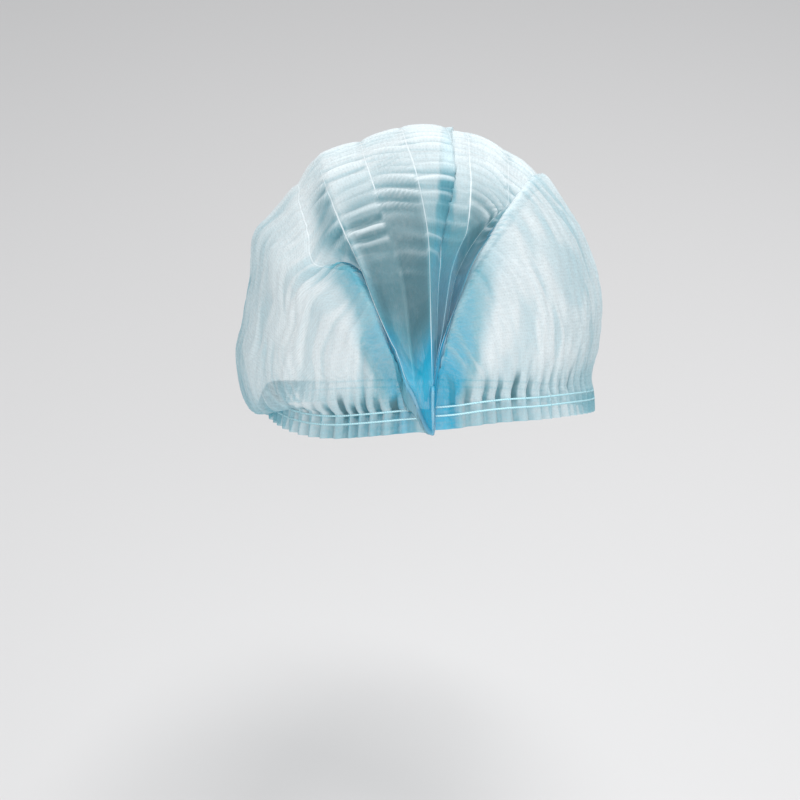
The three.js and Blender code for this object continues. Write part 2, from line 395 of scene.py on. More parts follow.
@dataclass(frozen=True)
class Ripple:
    """A wave with a wandering length, such as a row of gathers.

    Attributes:
        length: The mean length of a wave, measured on the flat sheet.
        spread: How far that wanders, as a share.
        seed: Which of the possible wanderings this is.
    """

    length: float
    spread: float
    seed: int

    def __call__(self, along: np.ndarray, number: int = 0) -> np.ndarray:
        """The wave's height, from -1 to 1, at distances along the sheet's row of that number."""
        rng = np.random.default_rng(SEED + self.seed + number)
        lengths = self.length * (1 + self.spread * rng.uniform(-1, 1, 400))
        turns = np.interp(along, np.concatenate([[0], np.cumsum(lengths)]), np.arange(401))
        return np.sin(2 * np.pi * (turns + rng.uniform()))


@dataclass(frozen=True)
class Wander:
    """A size that wanders about its mean along the sheet."""

    mean: float
    by: float
    ripple: Ripple

    def __call__(self, s: np.ndarray, number: int) -> np.ndarray:
        """The size at distances along the sheet's row of that number."""
        return self.mean + self.by * self.ripple(s, number)


@dataclass(frozen=True)
class Wrinkles:
    """A field of long, wandering wrinkles that run across the pleats.

    Attributes:
        length: The size of a wrinkle along the sheet.
        reach: Its size across the sheet.
        seed: Which of the possible fields this is.
        ridge: How high in the field a ridge's foot is.
        steepness: How narrow its top is.
    """

    length: float
    reach: float
    seed: int
    ridge: float = 0.6
    steepness: float = 1.5

    def __call__(self, s: np.ndarray, w: np.ndarray, number: int = 0) -> np.ndarray:
        """The field's height, from -1 to 1, at flat places of the panel of that number."""
        knots = np.random.default_rng(SEED + self.seed + number).uniform(-1, 1, (240, 240))
        u, v = s / self.length + 10, w / self.reach + 10
        i, j = np.floor(u).astype(int), np.floor(v).astype(int)
        u, v = smooth(0, 1, u - i), smooth(0, 1, v - j)
        low, high = (mix(knots[i, j + k], knots[i + 1, j + k], u) for k in (0, 1))
        return mix(low, high, v)

    def ridges(self, s: np.ndarray, w: np.ndarray, number: int) -> np.ndarray:
        """The field folded up into narrow ridges, from 0 in the hollows to 1 on a ridge."""
        height = np.minimum(np.abs(self(s, w, number)) / self.ridge, 1)
        return (1 - height) ** self.steepness


@dataclass
class Relief:
    """What some folds do to the sheet at each of its points, in tables that add up.

    Attributes:
        push: How far they push the sheet outwards.
        pinch_and_shade: How closely they pinch it, which looks bluer, with the painted shade that
            they add in hollows and troughs.
        painted_highlight: The painted highlight that they add along their ridges, and painted light
            on sheet in shade.
        deep: The painted shade that they add where the sheet lies deep between them.
    """

    push: np.ndarray | float = 0.0
    pinch_and_shade: np.ndarray | float = 0.0
    painted_highlight: np.ndarray | float = 0.0
    deep: np.ndarray | float = 0.0

    def __add__(self, other: "Relief") -> "Relief":
        """Both together."""
        pairs = zip(vars(self).values(), vars(other).values())
        return Relief(*(mine + theirs for mine, theirs in pairs))

    def __mul__(self, share: np.ndarray) -> "Relief":
        """The same folds with a share of their strength."""
        return Relief(*(table * share for table in vars(self).values()))


@dataclass(frozen=True)
class Gathers:
    """The gathers along one side's elastic, in the panel above it and in the hem below it.

    Attributes:
        side: The side that the elastic is on.
        hem_layers: How closely packed the hem looks, since its gathers overlap.
        tint: How closely packed the panel just above the elastic looks.
        widened: How much wider and darker the painted shade in the valleys is than in a plain wave.
        wave: The gathers' own wave.
        height: Half the height of a gather at the elastic.
        frill: Half the height of one at the free edge.
        reach: How far up the panel the gathers fade.
        tall: How tall the painted shade in the valleys between them is.
        strength: How dark that painted shade is.
        tinted: Heights above the elastic at which the tint is gone and full.
        fades: Where along the sheet the shades fade, from and to, and the share that is left.
    """

    side: Side
    hem_layers: float
    tint: float
    widened: float = 0
    wave: Ripple = Ripple(10.6, 0.3, 10)
    height: float = 2.2
    frill: float = 1.4
    reach: Wander = Wander(10, 5, Ripple(23, 0.5, 40))
    tall: Wander = Wander(14, 4, Ripple(26, 0.5, 41))
    strength: Wander = Wander(0.75, 0.25, Ripple(41, 0.5, 43))
    tinted: tuple[float, float] = (24, 5)
    fades: tuple[tuple[float, float, float], ...] = ((50, 110, 0.55), (190, 370, 0.35))

    def relief(self, s: np.ndarray, distance: np.ndarray, hem: float) -> Relief:
        """What the gathers do to the sheet.

        Args:
            s: Distances along the sheet, as a column.
            distance: Distances from the elastic, below 0 in the hem.
            hem: The hem's width.

        Returns:
            Their relief.
        """
        number = self.side.value
        gather = self.wave(s, number)
        above, below = np.maximum(distance, 0), np.maximum(-distance, 0) / hem
        in_hem, over_elastic = smooth(0.5, -0.5, distance), smooth(-1, 1, distance)
        near_elastic = np.exp(-above / self.reach(s, number))
        valley = smooth(0.1, 0.95, -gather)
        shown = math.prod(mix(1, left, smooth(low, high, s)) for low, high, left in self.fades)
        # Bluer where the gathers pinch the sheet and the hem's gathers overlap; in the valleys this
        # is partly painted shade.
        pinch_and_shade = 0.4 * valley * near_elastic * over_elastic
        pinch_and_shade = pinch_and_shade + (self.hem_layers + 0.08 * valley) * in_hem
        pinch_and_shade = pinch_and_shade + self.tint * smooth(*self.tinted, above) * (1 - in_hem)
        # Painted shade in the valleys between the gathers, fading up the panel and into the hem.
        tall = self.tall(s, number)
        shaded = smooth(0.1 - self.widened, 0.65 - self.widened, -gather)
        shaded = shaded * smooth(tall, tall / 2, above) * self.strength(s, number)
        shaded = shaded * (1 + self.widened) * mix(1, 0.35, smooth(0, 0.3, below))
        return Relief(
            push=gather * mix(self.height * near_elastic, self.frill, below**1.5),
            pinch_and_shade=shown * pinch_and_shade,
            deep=shown * shaded,
        )


@dataclass(frozen=True)
class PanelWrinkles:
    """The long, soft wrinkles that run over one side panel from its gathers.

    Attributes:
        side: The side that the panel is on.
        swell: The height of its broad swells.
        height: The height of its wrinkles.
        fine_share: The height of the fine wrinkles beside the broad ones.
        level: The wrinkles' own mean height, which is taken off.
        bends: How far the wrinkles wander along the sheet, with the field that they follow.
        swells: The broad swells.
        broad: The broad wrinkles.
        broad_patches: Where there are any of them.
        fine: The fine wrinkles.
        fine_patches: Where there are any of them.
        foot: Heights above the elastic at which the wrinkles start and are full.
        top: The height above which they fade towards the sheet's middle.
        at_side: Places along the cap where the panel turns edge on, and looks bluer.
        side_top: Heights above the elastic at which that is gone and full.
    """

    side: Side
    swell: float = 1.2
    height: float = 1.7
    fine_share: float = 0.4
    level: float = 0.3
    bends: tuple[tuple[float, Wrinkles], ...] = (
        (14, Wrinkles(50, 45, 15)),
        (4, Wrinkles(17, 20, 16)),
    )
    swells: Wrinkles = Wrinkles(30, 45, 21)
    broad: Wrinkles = Wrinkles(13, 65, 17)
    broad_patches: Wrinkles = Wrinkles(27, 33, 25)
    fine: Wrinkles = Wrinkles(5.5, 40, 19)
    fine_patches: Wrinkles = Wrinkles(31, 37, 23)
    foot: tuple[float, float] = (2, 26)
    top: float = 70
    at_side: Span = Span(0.25, 0.4, 0.6, 0.75)
    side_top: tuple[float, float] = (125, 80)

    def relief(
        self, s: np.ndarray, w: np.ndarray, above: np.ndarray, place: np.ndarray, middle: float
    ) -> Relief:
        """What the wrinkles do to the sheet.

        Args:
            s: Distances along the sheet, as a column.
            w: Distances across it.
            above: Distances above the elastic.
            place: Places along the cap, as a column.
            middle: Half the sheet's width, where they have faded.

        Returns:
            Their relief.
        """
        number = self.side.value
        wander = s + sum(by * bend(s, w, number) for by, bend in self.bends)
        broad = self.broad.ridges(wander, w, number)
        broad = broad * smooth(-0.6, 0.3, self.broad_patches(s, w, number))
        fine = self.fine.ridges(wander, w, number)
        fine = fine * smooth(-0.35, 0.45, self.fine_patches(s, w, number))
        rising = Span(*self.foot, self.top, middle)(above)
        wrinkled = broad + self.fine_share * fine - self.level
        hollow = smooth(0.35, 0, np.maximum(broad, fine))
        swollen = self.swell * self.swells(wander, w, number)
        edge_on = self.at_side(place) * smooth(*self.side_top, above)
        # Painted highlight along the wrinkles' ridges and painted shade in their hollows; the panel
        # also looks bluer where it turns edge on.
        return Relief(
            push=rising * (swollen + self.height * wrinkled),
            painted_highlight=rising * (0.35 * broad**2 + 0.25 * fine**2),
            pinch_and_shade=0.16 * rising * hollow + 0.14 * edge_on,
        )


@dataclass(frozen=True)
class Crinkles:
    """The short crinkles that cross each panel over the crown.

    Attributes:
        wave: Their own wave.
        height: Half the height of a crinkle.
        strength: How strong they are along a panel.
        slant: How far they lean along the sheet for each distance across it.
        bend: How far they bend out of line.
        bend_length: How far across the sheet a bend is.
        places: Places along the cap where they are.
        on_top: Distances across the sheet where they show most.
        elsewhere: The share of their height that is left beside that.
    """

    wave: Ripple = Ripple(8.5, 0.4, 40)
    height: float = 1.4
    strength: Wander = Wander(0.5, 0.5, Ripple(37, 0.5, 70))
    slant: float = 0.2
    bend: float = 2
    bend_length: float = 8
    places: Span = Span(0.12, 0.25, 0.75, 0.95)
    on_top: Span = Span(130, 156, 290, 340)
    elsewhere: float = 0.35

    def relief(
        self, s: np.ndarray, w: np.ndarray, panel: float, number: int, calm: np.ndarray
    ) -> Relief:
        """What the crinkles of one panel do, taken as if they went on past its edges.

        Args:
            s: Distances along the sheet, as a column.
            w: Distances across it.
            panel: The width of a panel.
            number: The panel's number.
            calm: How much the crinkles are pressed flat.

        Returns:
            Their relief.
        """
        slant = self.slant * (w - number * panel)
        slant = slant + self.bend * np.sin(w / self.bend_length + number)
        crinkle = self.wave(s + slant, number)
        strength = self.strength(s, number) * (1 - calm)
        sharp = np.sign(crinkle) * np.abs(crinkle) ** mix(0.9, 1.4, crinkle > 0)
        on_top = self.on_top(w)
        height = self.height * mix(self.elsewhere, 1, on_top) * mix(0.5, 1, strength)
        between_creases = np.sqrt(np.abs(np.sin(np.pi * w / panel)))
        # Painted highlight on the crinkles' crests and painted shade in their troughs, strongest
        # over the top of the cap.
        return Relief(
            push=between_creases * height * sharp,
            painted_highlight=0.75 * on_top * strength * smooth(0.5, 1, crinkle),
            pinch_and_shade=0.16 * on_top * strength * smooth(0.1, 0.9, -crinkle),
            deep=0.3 * on_top * strength * smooth(0.2, 1, -crinkle),
        )


@dataclass
class Folding:
    """How the sheet is folded across its pleats, with a row for each place along the cap.

    Attributes:
        place: The places along the cap.
        grid: The distances across the flat sheet at which the tables are worked out.
        girth: The length round the section.
        start: Where on the flat sheet the right side panel ends.
        end: Where the left one starts.
        outer: How far round the section the right side panel's edge is.
        left: How far round it the left one's is.
        upright: How far round each flat distance comes where the fan stands in an accordion.
        lying_flat: The same where it lies open but for its tucks.
        top_edge: Where on the flat sheet the tuck's upper fold is.
        under_edge: Where its lower fold is.
        rejoins: Where the sheet comes out from under it.
        under_left: How much sheet is then folded under the left side panel.
    """

    place: np.ndarray
    grid: np.ndarray
    girth: np.ndarray
    start: np.ndarray
    end: np.ndarray
    outer: np.ndarray
    left: np.ndarray
    upright: np.ndarray
    lying_flat: np.ndarray
    top_edge: np.ndarray
    under_edge: np.ndarray
    rejoins: np.ndarray
    under_left: np.ndarray

    def __post_init__(self) -> None:
        """Turns what has one value for each place into columns."""
        for name, table in vars(self).items():
            if name != "grid" and table.ndim == 1:
                setattr(self, name, table[:, None])

    @property
    def step(self) -> float:
        """The distance across the flat sheet from one column to the next."""
        return self.grid[1] - self.grid[0]

    @property
    def closed(self) -> np.ndarray:
        """Where the sheet is in the fan or packed beside it, and not in an open side panel."""
        return Span(self.start - 4, self.start + 2, self.end - 2, self.end + 4)(self.grid)


@dataclass
class PleatedSheet:
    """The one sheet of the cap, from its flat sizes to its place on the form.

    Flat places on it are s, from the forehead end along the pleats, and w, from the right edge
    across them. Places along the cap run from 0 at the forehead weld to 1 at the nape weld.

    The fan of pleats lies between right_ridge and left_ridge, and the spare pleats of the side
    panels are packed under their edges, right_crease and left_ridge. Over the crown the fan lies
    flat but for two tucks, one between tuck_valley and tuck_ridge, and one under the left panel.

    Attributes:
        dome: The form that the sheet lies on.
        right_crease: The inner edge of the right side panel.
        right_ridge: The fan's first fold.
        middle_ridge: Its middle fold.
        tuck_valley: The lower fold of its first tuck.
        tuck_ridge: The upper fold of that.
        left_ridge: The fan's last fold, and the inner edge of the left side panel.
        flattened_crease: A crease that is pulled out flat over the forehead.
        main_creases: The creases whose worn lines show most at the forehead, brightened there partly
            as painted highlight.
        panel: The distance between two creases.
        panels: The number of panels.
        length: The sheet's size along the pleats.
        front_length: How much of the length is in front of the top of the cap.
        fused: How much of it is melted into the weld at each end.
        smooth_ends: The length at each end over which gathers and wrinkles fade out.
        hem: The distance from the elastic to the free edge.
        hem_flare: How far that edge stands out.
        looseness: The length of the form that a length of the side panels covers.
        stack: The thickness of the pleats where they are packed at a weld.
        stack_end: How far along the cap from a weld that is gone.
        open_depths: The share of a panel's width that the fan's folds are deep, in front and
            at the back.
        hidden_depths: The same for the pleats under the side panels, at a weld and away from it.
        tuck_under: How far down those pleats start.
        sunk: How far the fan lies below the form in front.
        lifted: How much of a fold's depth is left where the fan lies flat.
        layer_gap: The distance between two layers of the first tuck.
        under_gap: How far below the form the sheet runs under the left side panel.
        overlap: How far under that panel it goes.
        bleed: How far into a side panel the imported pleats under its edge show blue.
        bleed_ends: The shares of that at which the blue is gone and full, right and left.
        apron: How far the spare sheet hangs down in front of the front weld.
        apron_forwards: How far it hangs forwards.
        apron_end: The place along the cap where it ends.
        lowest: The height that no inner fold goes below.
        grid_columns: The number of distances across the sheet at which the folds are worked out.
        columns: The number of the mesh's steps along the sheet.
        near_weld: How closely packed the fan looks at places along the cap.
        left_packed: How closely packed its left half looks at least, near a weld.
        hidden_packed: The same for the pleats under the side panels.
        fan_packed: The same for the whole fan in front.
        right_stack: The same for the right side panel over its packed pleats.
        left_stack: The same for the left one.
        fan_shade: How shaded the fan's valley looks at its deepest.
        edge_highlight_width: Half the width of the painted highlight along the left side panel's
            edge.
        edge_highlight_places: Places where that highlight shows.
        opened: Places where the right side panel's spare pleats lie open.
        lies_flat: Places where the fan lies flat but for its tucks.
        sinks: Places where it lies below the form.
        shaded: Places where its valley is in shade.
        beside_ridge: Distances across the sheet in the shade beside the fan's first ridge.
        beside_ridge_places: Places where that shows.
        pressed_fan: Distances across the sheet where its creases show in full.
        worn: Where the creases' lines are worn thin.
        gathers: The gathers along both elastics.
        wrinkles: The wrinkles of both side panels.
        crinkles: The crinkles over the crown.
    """

    dome: Dome = field(default_factory=Dome)
    right_crease: Crease = Crease(
        132,
        ((0, -86), (0.022, -60), (0.048, -33), (0.095, -31), (0.165, -27.8), (0.208, -30))
        + ((0.234, -38.5), (0.258, -42), (0.295, -36), (0.43, -32), (0.5, -32), (0.8, -36))
        + ((0.95, -30), (1, -60)),
    )
    right_ridge: Crease = Crease(
        154,
        ((0, -86), (0.022, -60), (0.048, -33), (0.095, -31), (0.16, -27.5), (0.27, -26.5))
        + ((0.5, -24.5), (0.8, -26), (0.95, -22), (1, -50)),
    )
    middle_ridge: Crease = Crease(
        198,
        ((0, -0.5), (0.055, -0.8), (0.176, -1), (0.24, -2.8), (0.36, -5.5), (0.5, -6.5), (0.9, -5)),
    )
    tuck_valley: Crease = Crease(
        220, ((0, 3.5), (0.055, 3.8), (0.18, 2.8), (0.25, 1.8), (0.43, 2.5), (0.9, 3))
    )
    tuck_ridge: Crease = Crease(
        242, ((0, 6), (0.056, 6.5), (0.188, 9.2), (0.26, 7.2), (0.36, 5.5), (0.43, 5), (0.9, 10))
    )
    left_ridge: Crease = Crease(
        286,
        ((0, 7), (0.056, 8), (0.109, 14), (0.156, 15.5), (0.2, 18.2), (0.26, 21.2), (0.5, 28))
        + ((0.8, 26), (0.95, 20), (1, 16)),
    )
    flattened_crease: float = 176
    main_creases: tuple[float, ...] = (154, 198, 242, 286)
    panel: float = 22
    panels: int = 20
    length: float = 440
    front_length: float = 200
    fused: float = 8
    smooth_ends: float = 30
    hem: float = 10
    hem_flare: float = 1.5
    looseness: float = 0.97
    stack: float = 2.6
    stack_end: float = 0.06
    open_depths: tuple[float, float] = (0.6, 1)
    hidden_depths: tuple[float, float] = (0.35, 1)
    tuck_under: float = 3
    sunk: float = 4
    lifted: float = 0.07
    layer_gap: float = 1.4
    under_gap: float = 3.8
    overlap: float = 4
    bleed: float = 17
    bleed_ends: tuple[tuple[float, float], ...] = ((0.9, 0.3), (1, 0.4))
    apron: float = 10
    apron_forwards: float = 1.5
    apron_end: float = 0.024
    lowest: float = -1
    grid_columns: int = 1681
    columns: int = 400
    near_weld: Table = ((0, 1), (0.035, 0.95), (0.06, 0.85), (0.08, 0.64), (0.11, 0.36), (0.2, 0.2))
    right_stack: Table = ((0, 0.35), (0.03, 0.4), (0.06, 0.5), (0.15, 0.5), (0.2, 0.38), (0.275, 0))
    left_stack: Table = ((0, 1), (0.03, 0.95), (0.05, 0.62), (0.1, 0.5), (0.17, 0.3), (0.22, 0))
    left_packed: float = 0.65
    hidden_packed: float = 0.75
    fan_packed: float = 0.16
    fan_shade: float = 0.92
    edge_highlight_width: float = 3.2
    edge_highlight_places: Span = Span(0.01, 0.03, 0.34, 0.42)
    opened: Span = Span(0.19, 0.24, 0.74, 0.82)
    lies_flat: Span = Span(0.13, 0.3, 0.7, 0.87)
    sinks: Span = Span(0.03, 0.12, 0.22, 0.45)
    shaded: Span = Span(0.05, 0.1, 0.2, 0.34)
    beside_ridge: Span = Span(134, 146, 151, 157)
    beside_ridge_places: Span = Span(0.15, 0.2, 0.3, 0.38)
    pressed_fan: Span = Span(112, 128, 290, 306)
    worn: Wrinkles = Wrinkles(26, 22, 3)
    gathers: tuple[Gathers, ...] = (
        Gathers(Side.RIGHT, hem_layers=0.54, tint=0.38, widened=0.35),
        Gathers(Side.LEFT, hem_layers=0.4, tint=0.2),
    )
    wrinkles: tuple[PanelWrinkles, ...] = (PanelWrinkles(Side.RIGHT), PanelWrinkles(Side.LEFT))
    crinkles: Crinkles = Crinkles()

    @property
    def width(self) -> float:
        """The sheet's size across the pleats."""
        return self.panel * self.panels

    def place(self, s: np.ndarray) -> np.ndarray:
        """The place along the cap of a distance along the sheet, even along the top of the cap."""
        places = np.linspace(0, 1, 1001)
        top = self.dome.point(np.zeros_like(places), places)
        steps = np.linalg.norm(np.diff(top, axis=0), axis=1)
        arcs = np.concatenate([[0], np.cumsum(steps)])
        front, whole = arcs[500], arcs[-1]
        keys = [self.fused, self.front_length, self.length - self.fused]
        return np.interp(np.interp(s, keys, [0, front, whole]), arcs, places)

    def _folding(self, place: np.ndarray) -> Folding:
        """Folds the sheet across its pleats.

        The side panels are open. Near the welds the fan between them stands in an accordion, with
        the side panels' spare pleats packed upright under its two edges. Over the crown it lies
        open but for two flat tucks.

        Args:
            place: Places along the cap.

        Returns:
            How it is folded there.
        """
        far = self.width - self.hem
        grid = np.linspace(self.hem, far, self.grid_columns)
        girth = self.dome.section_girth(place)
        outer, right, middle, valley, ridge, left = (
            self.dome.share_at(crease.angle(place)) * girth
            for crease in (
                self.right_crease,
                self.right_ridge,
                self.middle_ridge,
                self.tuck_valley,
                self.tuck_ridge,
                self.left_ridge,
            )
        )
        start = np.minimum(self.hem + outer / self.looseness, self.right_crease.flat)
        start = mix(start, self.right_crease.flat, self.opened(place))
        end = np.maximum(far - (girth - left) / self.looseness, self.left_ridge.flat)

        def folded_along(*keys: tuple[object, object]) -> np.ndarray:
            flats, arcs = (
                np.stack([np.zeros_like(girth) + key[k] for key in keys], axis=1) for k in (0, 1)
            )
            flats = np.maximum.accumulate(flats, axis=1) + np.linspace(0, 1e-3, len(keys))
            return blurred(np.stack([np.interp(grid, f, a) for f, a in zip(flats, arcs)]), 4)

        before = (
            (self.hem, 0),
            (start, outer),
            (self.right_crease.flat, outer),
            (self.right_ridge.flat, right),
            (self.middle_ridge.flat, middle),
        )
        after = ((end, left), (far, girth))
        top_edge = self.middle_ridge.flat + ridge - middle
        under_edge = top_edge + ridge - valley
        rejoins = np.minimum(under_edge + left - valley, end)
        under_left = (end - rejoins) / 2
        upright = folded_along(
            *before, (self.tuck_ridge.flat, ridge), (self.left_ridge.flat, left), *after
        )
        lying_flat = folded_along(
            *before,
            (top_edge, ridge),
            (under_edge, valley),
            (rejoins, left),
            (rejoins + under_left, left + np.minimum(under_left, self.overlap)),
            *after,
        )
        panels = (place, grid, girth, start, end, outer, left)
        return Folding(*panels, upright, lying_flat, top_edge, under_edge, rejoins, under_left)

    def _hidden(self, folding: Folding) -> np.ndarray:
        """Where the pleats are packed under the edges of the side panels."""
        beyond_right = smooth(self.right_crease.flat, self.right_crease.flat - 4, folding.grid)
        beyond_left = smooth(self.left_ridge.flat, self.left_ridge.flat + 4, folding.grid)
        return folding.closed * (beyond_right + beyond_left)

    def _in_fan(self, grid: np.ndarray) -> np.ndarray:
        """Where the sheet is well inside the fan."""
        first, last = self.right_ridge.flat, self.left_ridge.flat
        return Span(first, first + 10, last - 10, last)(grid)

    def _depth(self, folding: Folding) -> np.ndarray:
        """How deep below the form the folded sheet lies."""
        place, grid, closed = folding.place, folding.grid, folding.closed
        hidden, in_fan = self._hidden(folding), self._in_fan(grid)
        rate = np.clip(np.gradient(folding.upright, folding.step, axis=1), 0, 1)
        fold = np.abs(np.mod(grid / self.panel, 2) - 1) * self.panel
        open_depth = mix(*self.open_depths, smooth(0.5, 0.65, place))
        fold_depth = mix(open_depth, mix(*self.hidden_depths, smooth(0.03, 0.12, place)), hidden)
        steepness = np.sqrt(1 - rate**2) * closed
        standing = steepness * (fold_depth * fold + self.tuck_under * hidden)
        standing += self.sunk * self.sinks(place) * in_fan

        level = 1.0 * in_fan
        for edge in (folding.top_edge, folding.under_edge):
            level = level + self.layer_gap * smooth(-1, 1, grid - edge) * in_fan
        beyond = smooth(self.left_ridge.flat - 10, self.left_ridge.flat, grid)
        beyond = beyond * smooth(folding.end, folding.rejoins + folding.under_left, grid)
        level = level + self.under_gap * beyond * (folding.under_left > 0.5)
        return mix(standing, level + self.lifted * fold * closed, self.lies_flat(place))

    def _packing(self, folding: Folding) -> np.ndarray:
        """How closely packed the pleats look."""
        place, grid, closed = folding.place, folding.grid, folding.closed
        near_weld = np.interp(place, *zip(*self.near_weld))
        near_weld = np.maximum(near_weld, 0.8 * self._by_right_ridge(place, grid))
        in_left_half = self.middle_ridge.past(grid)
        packed = closed * mix(near_weld, np.maximum(near_weld, self.left_packed), in_left_half)
        packed = mix(packed, np.maximum(packed, self.hidden_packed), self._hidden(folding))
        right_stack = smooth(self.right_ridge.flat, self.right_crease.flat, grid)
        packed = packed * (1 - 0.55 * right_stack * smooth(0.09, 0.05, place))

        tucked = np.clip(1 - np.gradient(folding.lying_flat, folding.step, axis=1), 0, 2) / 2
        tucked = blurred(tucked, 2) * closed
        on_left = smooth(self.left_ridge.flat - 12, self.left_ridge.flat - 4, grid)
        fading = mix(smooth(0.315, 0.25, place), smooth(0.26, 0.2, place), on_left)
        doubled = np.maximum(self._layered(folding.lying_flat), tucked) * mix(0.07, 0.5, fading)
        packed = mix(packed, doubled, self.lies_flat(place))
        in_front = self._in_fan(grid) * smooth(0.38, 0.24, place)
        packed = np.maximum(packed, self.fan_packed * in_front)
        return np.maximum(packed, self._stack_shows(folding))

    def across(self, s: np.ndarray, w: np.ndarray) -> tuple[np.ndarray, ...]:
        """Folds the sheet across its pleats.

        Args:
            s: Distances along the sheet, one for each column.
            w: Distances across it, of any number for each column, as a table.

        Returns:
            The share of the way round the section, the depth below the form, how closely the
            pleats are packed, and the painted highlight along the left side panel's edge.
        """
        folding = self._folding(self.place(s))
        place = folding.place
        share = mix(folding.upright, folding.lying_flat, self.lies_flat(place)) / folding.girth
        # Painted highlight along the left side panel's folded edge, which takes the place of the
        # blue there.
        edge = smooth(self.edge_highlight_width, 0, np.abs(folding.grid - folding.end))
        edge = edge * self.edge_highlight_places(place) * mix(0.45, 1, smooth(0.16, 0.21, place))
        tables = (share, self._depth(folding), self._packing(folding) * (1 - edge), edge)
        return tuple(
            np.stack([np.interp(w[i], folding.grid, table[i]) for i in range(len(s))])
            for table in tables
        )

    def _by_right_ridge(self, place: np.ndarray, w: np.ndarray) -> np.ndarray:
        """Where the blue of the front weld reaches up beside the fan's right ridge, as a share."""
        beside = smooth(self.right_ridge.flat + 32, self.right_ridge.flat + 4, w)
        return beside * smooth(0.13, 0.08, place)

    def _stack_shows(self, folding: Folding) -> np.ndarray:
        """How blue the side panels look over the stacks that are packed under their edges."""
        place = folding.place
        bleed = self.bleed * mix(1.9, 1, smooth(0.04, 0.17, place))
        insides = (folding.outer - folding.upright, folding.upright - folding.left)
        shown = np.zeros_like(folding.upright)
        for inside, (gone, full), stack in zip(
            insides, self.bleed_ends, (self.right_stack, self.left_stack)
        ):
            blue = smooth(gone * bleed, full * bleed, inside) * (inside >= 0)
            shown = np.maximum(shown, blue * np.interp(place, *zip(*stack)))
        return shown

    @staticmethod
    def _layered(arcs: np.ndarray) -> np.ndarray:
        """Where a flat sheet lies in more than one layer: 0 in one layer, and 1 in three.

        Args:
            arcs: How far round each point of each column has come.

        Returns:
            The layers over each point, as a share.
        """
        highest = np.maximum.accumulate(arcs, axis=1)
        lowest = np.minimum.accumulate(arcs[:, ::-1], axis=1)[:, ::-1]
        overlap = np.maximum(highest - arcs, arcs - lowest)
        return smooth(0.2, 1.2, overlap)

    def _shading(self, place: np.ndarray, w: np.ndarray) -> Relief:
        """The painted shade in the valley of the fan and beside its first ridge, and the painted
        light on the flap beside the front weld.

        Args:
            place: Places along the cap, as a column.
            w: Distances across the sheet.

        Returns:
            The relief that gives them, which pushes nothing.
        """
        right, middle, left = self.right_ridge.flat, self.middle_ridge.flat, self.left_ridge.flat
        tuck = self.tuck_ridge.flat
        # Painted shade in the fan's valley, kept off its strip and the blue beside its first ridge.
        shade = self.fan_shade * Span(right - 2, right + 6, left - 6, left + 2)(w)
        shade = shade * self.shaded(place) * (1 - 0.85 * self._by_right_ridge(place, w))
        beside_strip = self.tuck_ridge.past(w) * smooth(0.23, 0.17, place)
        shade *= 1 - 0.45 * beside_strip
        strip_end = mix(left + 10, tuck, smooth(0.13, 0.17, place))
        strip = Span(middle - 4, middle + 4, strip_end - 4, strip_end + 4)(w)
        shade *= 1 - mix(0.9, 0.45, smooth(0.14, 0.22, place)) * strip
        # Painted shade beside the fan's first ridge, and painted light on the flap beside the front
        # weld.
        beside_ridge = self.beside_ridge(w) * self.beside_ridge_places(place)
        flap = smooth(right + 4, right - 10, w) * smooth(self.hem, 2 * self.hem, w)
        return Relief(
            pinch_and_shade=0.3 * beside_ridge,
            painted_highlight=0.28 * smooth(0.04, 0.02, place) * flap,
            deep=shade + 0.5 * beside_ridge,
        )

    def relief(self, s: np.ndarray, w: np.ndarray) -> Relief:
        """The gathers at the elastic, the wrinkles above them and the crinkles over the crown.

        Args:
            s: Distances along the sheet, as a column.
            w: Distances across it.

        Returns:
            Their relief together.
        """
        place = self.place(s)
        start, end = self.fused, self.length - self.fused
        clear_of_ends = Span(start, self.smooth_ends, self.length - self.smooth_ends, end)(s)
        total = self._shading(place, w)
        middle = self.width / 2
        for gathers, wrinkles in zip(self.gathers, self.wrinkles):
            from_edge = w if gathers.side is Side.RIGHT else self.width - w
            distance = from_edge - self.hem
            above = np.maximum(distance, 0)
            both = gathers.relief(s, distance, self.hem)
            both = both + wrinkles.relief(s, w, above, place, middle)
            total = total + both * ((distance < middle) * clear_of_ends)
        number = np.floor(w / self.panel).astype(int)
        smoothed = np.maximum(smooth(258, 246, w), smooth(0.25, 0.2, place))
        calm = 0.65 * smooth(214, 224, w) * smoothed
        over_crown = self.crinkles.places(place)
        for k in range(self.panels):
            crinkled = self.crinkles.relief(s, w, self.panel, k, calm)
            total = total + crinkled * ((number == k) * over_crown)
        return total

